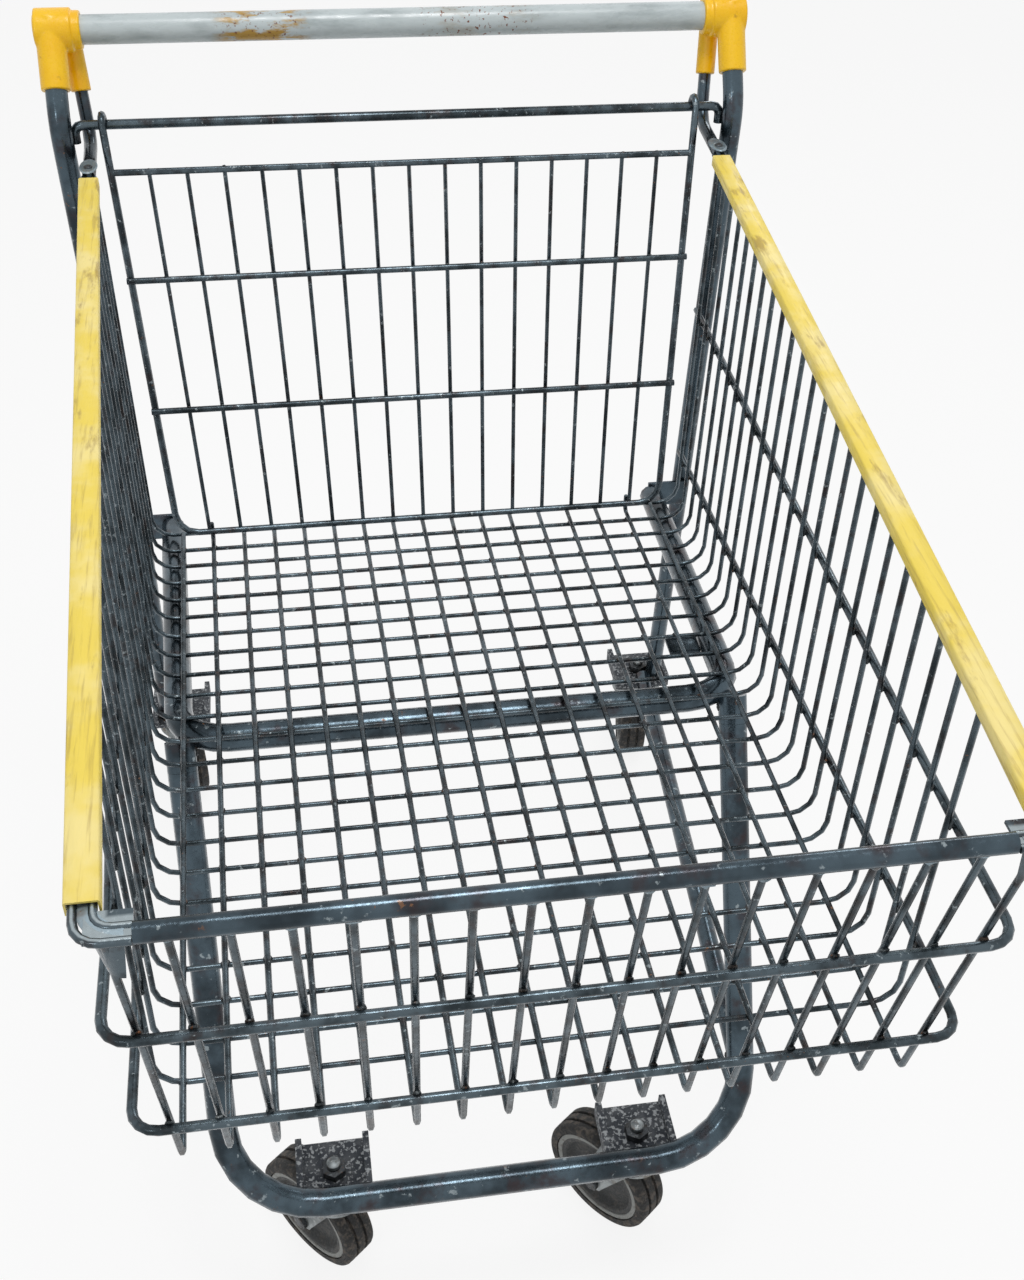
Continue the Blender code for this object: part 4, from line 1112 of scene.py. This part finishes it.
@dataclass
class Castor:
    """One swivel castor."""

    corner: Corner
    pivot: tuple[float, float]
    turn: float
    trail: float = 0.030
    radius: float = 0.0625
    width: float = 0.0340
    tread_depth: float = 0.0100
    groove: tuple[float, float] = (0.0013, 0.0030)
    core_half: float = 0.0150
    band_part: float = 0.79
    bolt_end_z: float = 0.1720

    def wheel_place(self) -> Matrix:
        """Where the wheel's centre is, with X along the axle."""
        swivel = Matrix.Translation((*self.pivot, 0.0)) @ Matrix.Rotation(math.radians(-self.turn), 4, "Z")
        return swivel @ Matrix.Translation((0.0, -self.trail, self.radius))

    def upright_place(self) -> Matrix:
        """The swivel axis, with X pointing up."""
        return Matrix.Translation((*self.pivot, 0.0)) @ Matrix.Rotation(-math.pi / 2, 4, "Y")

    def build_tread(self, finish: Material) -> None:
        """Make the round tread: three bands with two grooves between them and soft shoulders."""
        half, outer = self.width / 2, self.radius
        slot, dip = self.groove
        third = half / 3
        right = [
            (third - slot - 0.0004, outer), (third - slot, outer - dip), (third + slot, outer - dip),
            (third + slot + 0.0004, outer), (half - 0.0032, outer - 0.0002), (half - 0.0012, outer - 0.0012),
            (half, outer - 0.0034), (half, outer - self.tread_depth),
        ]
        left = [(-along, radius) for along, radius in reversed(right)]
        shape = bmesh.new()
        turned(shape, [*left, *right], self.wheel_place(), 72)
        name = self.corner.value
        obj = piece(f"grooved_tread_{name}", shape, finish, f"wheel_{name}")
        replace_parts(obj, f"castor_{name}_tread")

    def build_core(self, finish: Material, pale: Material) -> None:
        """Make the moulded core with its hub and dished web, and the pale band near its rim.

        Args:
            finish: the core's plastic.
            pale: the band's plastic.
        """
        seat, face = self.radius - self.tread_depth, self.core_half
        side = [
            (0.0175, 0.0055), (0.0175, 0.0128), (0.0168, 0.0138), (0.0095, 0.0160), (0.0082, 0.0180),
            (0.0080, 0.0370), (0.0090, 0.0392), (face - 0.0010, 0.0415), (face, 0.0428), (face, seat - 0.0006),
        ]
        profile = [*side, *((-along, radius) for along, radius in reversed(side))]
        name = self.corner.value
        core = bmesh.new()
        turned(core, profile, self.wheel_place(), 72)
        obj = piece(f"wheel_core_{name}", core, finish, f"wheel_{name}")
        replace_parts(obj, f"castor_{name}_wheel")
        band = bmesh.new()
        ring = self.radius * self.band_part
        for end in (-1, 1):
            hoop = [
                (end * (face - 0.0006), ring - 0.0030), (end * (face + 0.0009), ring - 0.0024),
                (end * (face + 0.0012), ring), (end * (face + 0.0009), ring + 0.0022),
                (end * (face - 0.0006), ring + 0.0028),
            ]
            turned(band, hoop, self.wheel_place(), 72)
        piece(f"wheel_band_{name}", band, pale, f"wheel_{name}")

    def build_crown(self, finish: Material) -> None:
        """Make the pressed lip round the fork's crown, and the dust cover of its ball race."""
        name = self.corner.value
        lip = bmesh.new()
        press = [
            (0.1288, 0.0306), (0.1290, 0.0320), (0.1345, 0.0318), (0.1370, 0.0308), (0.1386, 0.0288),
            (0.1390, 0.0250), (0.1380, 0.0248), (0.1374, 0.0284), (0.1352, 0.0300),
        ]
        turned(lip, press, self.upright_place(), 56)
        cover = [
            (0.1392, 0.0238), (0.1392, 0.0262), (0.1412, 0.0266),
            (0.1462, 0.0258), (0.1478, 0.0246), (0.1478, 0.0238),
        ]
        turned(lip, cover, self.upright_place(), 56)
        piece(f"fork_crown_lip_{name}", lip, finish, f"fork_{name}")

    def build_bolt_end(self, finish: Material) -> None:
        """Make the bright domed end of the king bolt."""
        name = self.corner.value
        dome = bmesh.new()
        top = self.bolt_end_z
        round_end = [
            (top - 0.0030, 0.0003), (top - 0.0030, 0.0068), (top - 0.0006, 0.0068), (top + 0.0008, 0.0060),
            (top + 0.0015, 0.0040), (top + 0.0018, 0.0003),
        ]
        turned(dome, round_end, self.upright_place(), 32)
        piece(f"king_bolt_end_{name}", dome, finish, "frame")

    def build(self, finishes: dict[str, Material]) -> None:
        """Make and dress the castor.

        Args:
            finishes: the castors' shared materials by name.
        """
        name = self.corner.value
        for part, edge_mm in (("plate", 0.7), ("fork", 0.4), ("king_bolt", 0.5), ("axle", 0.5)):
            dress(f"castor_{name}_{part}", finishes[part], edge_mm)
        self.build_tread(finishes["tread"])
        self.build_core(finishes["core"], finishes["band"])
        self.build_crown(finishes["fork"])
        self.build_bolt_end(finishes["bright"])


@dataclass
class Studio:
    """Camera, floor and plain soft light."""

    eye: tuple[float, float, float] = (-0.12288, -0.93308 + LENGTH_SHIFT, 1.41203)
    yaw: float = math.radians(9.7672)
    pitch: float = math.radians(-39.6664)
    roll: float = math.radians(1.6783)
    focal_px: float = 1449.85
    centre_px: tuple[float, float] = (508.93, 653.15)
    frame_px: tuple[int, int] = (1024, 1280)
    sensor_mm: float = 36.0
    floor_half: float = 30.0
    floor_white: float = 0.86
    ambient: float = 0.5

    @staticmethod
    def seen_directly(tree: Tree) -> Socket:
        """Give 1 for what is seen, also in metal or through glass, and 0 for what only lights the trolley."""
        rays = add_node(tree, "ShaderNodeLightPath").outputs
        seen = maths(tree, "MAXIMUM", rays["Is Camera Ray"], rays["Is Glossy Ray"])
        return maths(tree, "MAXIMUM", seen, rays["Is Transmission Ray"])

    def build_camera(self) -> None:
        """Put the camera where the photographer stood."""
        flat = math.cos(self.pitch)
        forward = Vector((math.sin(self.yaw) * flat, math.cos(self.yaw) * flat, math.sin(self.pitch)))
        level = Vector((math.cos(self.yaw), -math.sin(self.yaw), 0.0))
        raised = level.cross(forward)
        right = level * math.cos(self.roll) + raised * math.sin(self.roll)
        up = raised * math.cos(self.roll) - level * math.sin(self.roll)
        lens = bpy.data.cameras.new("camera")
        tall = self.frame_px[1]
        lens.sensor_fit = "VERTICAL"
        lens.sensor_height = self.sensor_mm
        lens.lens = self.focal_px / tall * self.sensor_mm
        lens.shift_x = (self.frame_px[0] / 2 - self.centre_px[0]) / tall
        lens.shift_y = (self.centre_px[1] - tall / 2) / tall
        lens.clip_start = 0.01
        camera = bpy.data.objects.new("camera", lens)
        turn = Matrix((right, up, -forward)).transposed().to_4x4()
        camera.matrix_world = Matrix.Translation(self.eye) @ turn
        bpy.context.scene.collection.objects.link(camera)
        bpy.context.scene.camera = camera

    def build_floor(self) -> None:
        """Lay a plain pale floor that keeps the trolley's shadow."""
        shape = bmesh.new()
        bmesh.ops.create_grid(shape, x_segments=1, y_segments=1, size=self.floor_half)
        mesh = bpy.data.meshes.new("floor")
        shape.to_mesh(mesh)
        shape.free()
        paint = bpy.data.materials.new("matt_white_floor")
        paint.use_nodes = True
        tree = paint.node_tree
        shader = tree.nodes["Principled BSDF"]
        shader.inputs["Base Color"].default_value = linear("f6f6f6")
        shader.inputs["Roughness"].default_value = 0.9
        shader.inputs["Specular IOR Level"].default_value = 0.1
        glow = add_node(tree, "ShaderNodeEmission", {"Color": linear("ffffff"), "Strength": 1.0})
        share = maths(tree, "MULTIPLY", self.seen_directly(tree), self.floor_white)
        mix = add_node(tree, "ShaderNodeMixShader", {0: share, 1: shader.outputs[0], 2: glow.outputs[0]})
        tree.links.new(mix.outputs[0], tree.nodes["Material Output"].inputs["Surface"])
        mesh.materials.append(paint)
        floor = bpy.data.objects.new("floor", mesh)
        bpy.context.scene.collection.objects.link(floor)

    def build_lights(self) -> None:
        """Hang the main soft lamp above, and a weaker one in front and one behind for streaks on the tubes."""
        lamps = (
            ("overhead_softbox", (0.1, -0.3, 3.2), (0.0, 0.0, 0.5), 0.8, 26.0),
            ("front_softbox", (-1.6, -2.2, 2.4), (0.0, 0.0, 0.6), 0.4, 6.0),
            ("rear_softbox", (1.4, 2.4, 2.2), (0.0, 0.0, 0.6), 0.5, 6.0),
        )
        for name, place, target, size, power in lamps:
            lamp = bpy.data.lights.new(name, "AREA")
            lamp.shape = "SQUARE"
            lamp.size = size
            lamp.energy = power
            obj = bpy.data.objects.new(name, lamp)
            aim = (Vector(target) - Vector(place)).to_track_quat("-Z", "Y")
            obj.matrix_world = Matrix.Translation(place) @ aim.to_matrix().to_4x4()
            bpy.context.scene.collection.objects.link(obj)

    def build_world(self) -> None:
        """Surround the trolley with plain light, seen as white by the camera and by reflections."""
        world = bpy.data.worlds.new("studio")
        world.use_nodes = True
        tree = world.node_tree
        tree.nodes.clear()
        dim = add_node(tree, "ShaderNodeBackground", {"Color": linear("ffffff"), "Strength": self.ambient})
        white = add_node(tree, "ShaderNodeBackground", {"Color": linear("ffffff"), "Strength": 1.0})
        mix = add_node(
            tree, "ShaderNodeMixShader", {0: self.seen_directly(tree), 1: dim.outputs[0], 2: white.outputs[0]}
        )
        add_node(tree, "ShaderNodeOutputWorld", {"Surface": mix.outputs[0]})
        bpy.context.scene.world = world

    def build(self) -> None:
        """Build the whole studio."""
        bpy.context.scene.view_settings.view_transform = "Standard"
        self.build_camera()
        self.build_floor()
        self.build_lights()
        self.build_world()
        log.info("studio ready")


def main() -> None:
    """Build the studio and dress the trolley."""
    logging.basicConfig(level=logging.INFO, format="%(name)s: %(message)s")
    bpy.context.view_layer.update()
    Studio().build()
    Basket().build()
    Gate().build()
    Handle().build()
    Chassis().build()
    finishes = {
        "plate": PLATE.build(), "fork": FORK.build(), "king_bolt": BOLT.build(), "axle": BOLT.build(),
        "core": CORE.build(), "tread": TREAD.build(), "band": BAND.build(), "bright": BRIGHT.build(),
    }
    castors = (
        Castor(Corner.FRONT_LEFT, (-0.146, -0.179 + LENGTH_SHIFT), 140.0),
        Castor(Corner.FRONT_RIGHT, (0.146, -0.179 + LENGTH_SHIFT), 142.0),
        Castor(Corner.REAR_LEFT, (-0.300, 0.505 + LENGTH_SHIFT), 168.0),
        Castor(Corner.REAR_RIGHT, (0.300, 0.505 + LENGTH_SHIFT), 190.0),
    )
    for castor in castors:
        castor.build(finishes)
        log.info("castor %s dressed", castor.corner.value)


if __name__ == "__main__":
    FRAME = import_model()
    main()
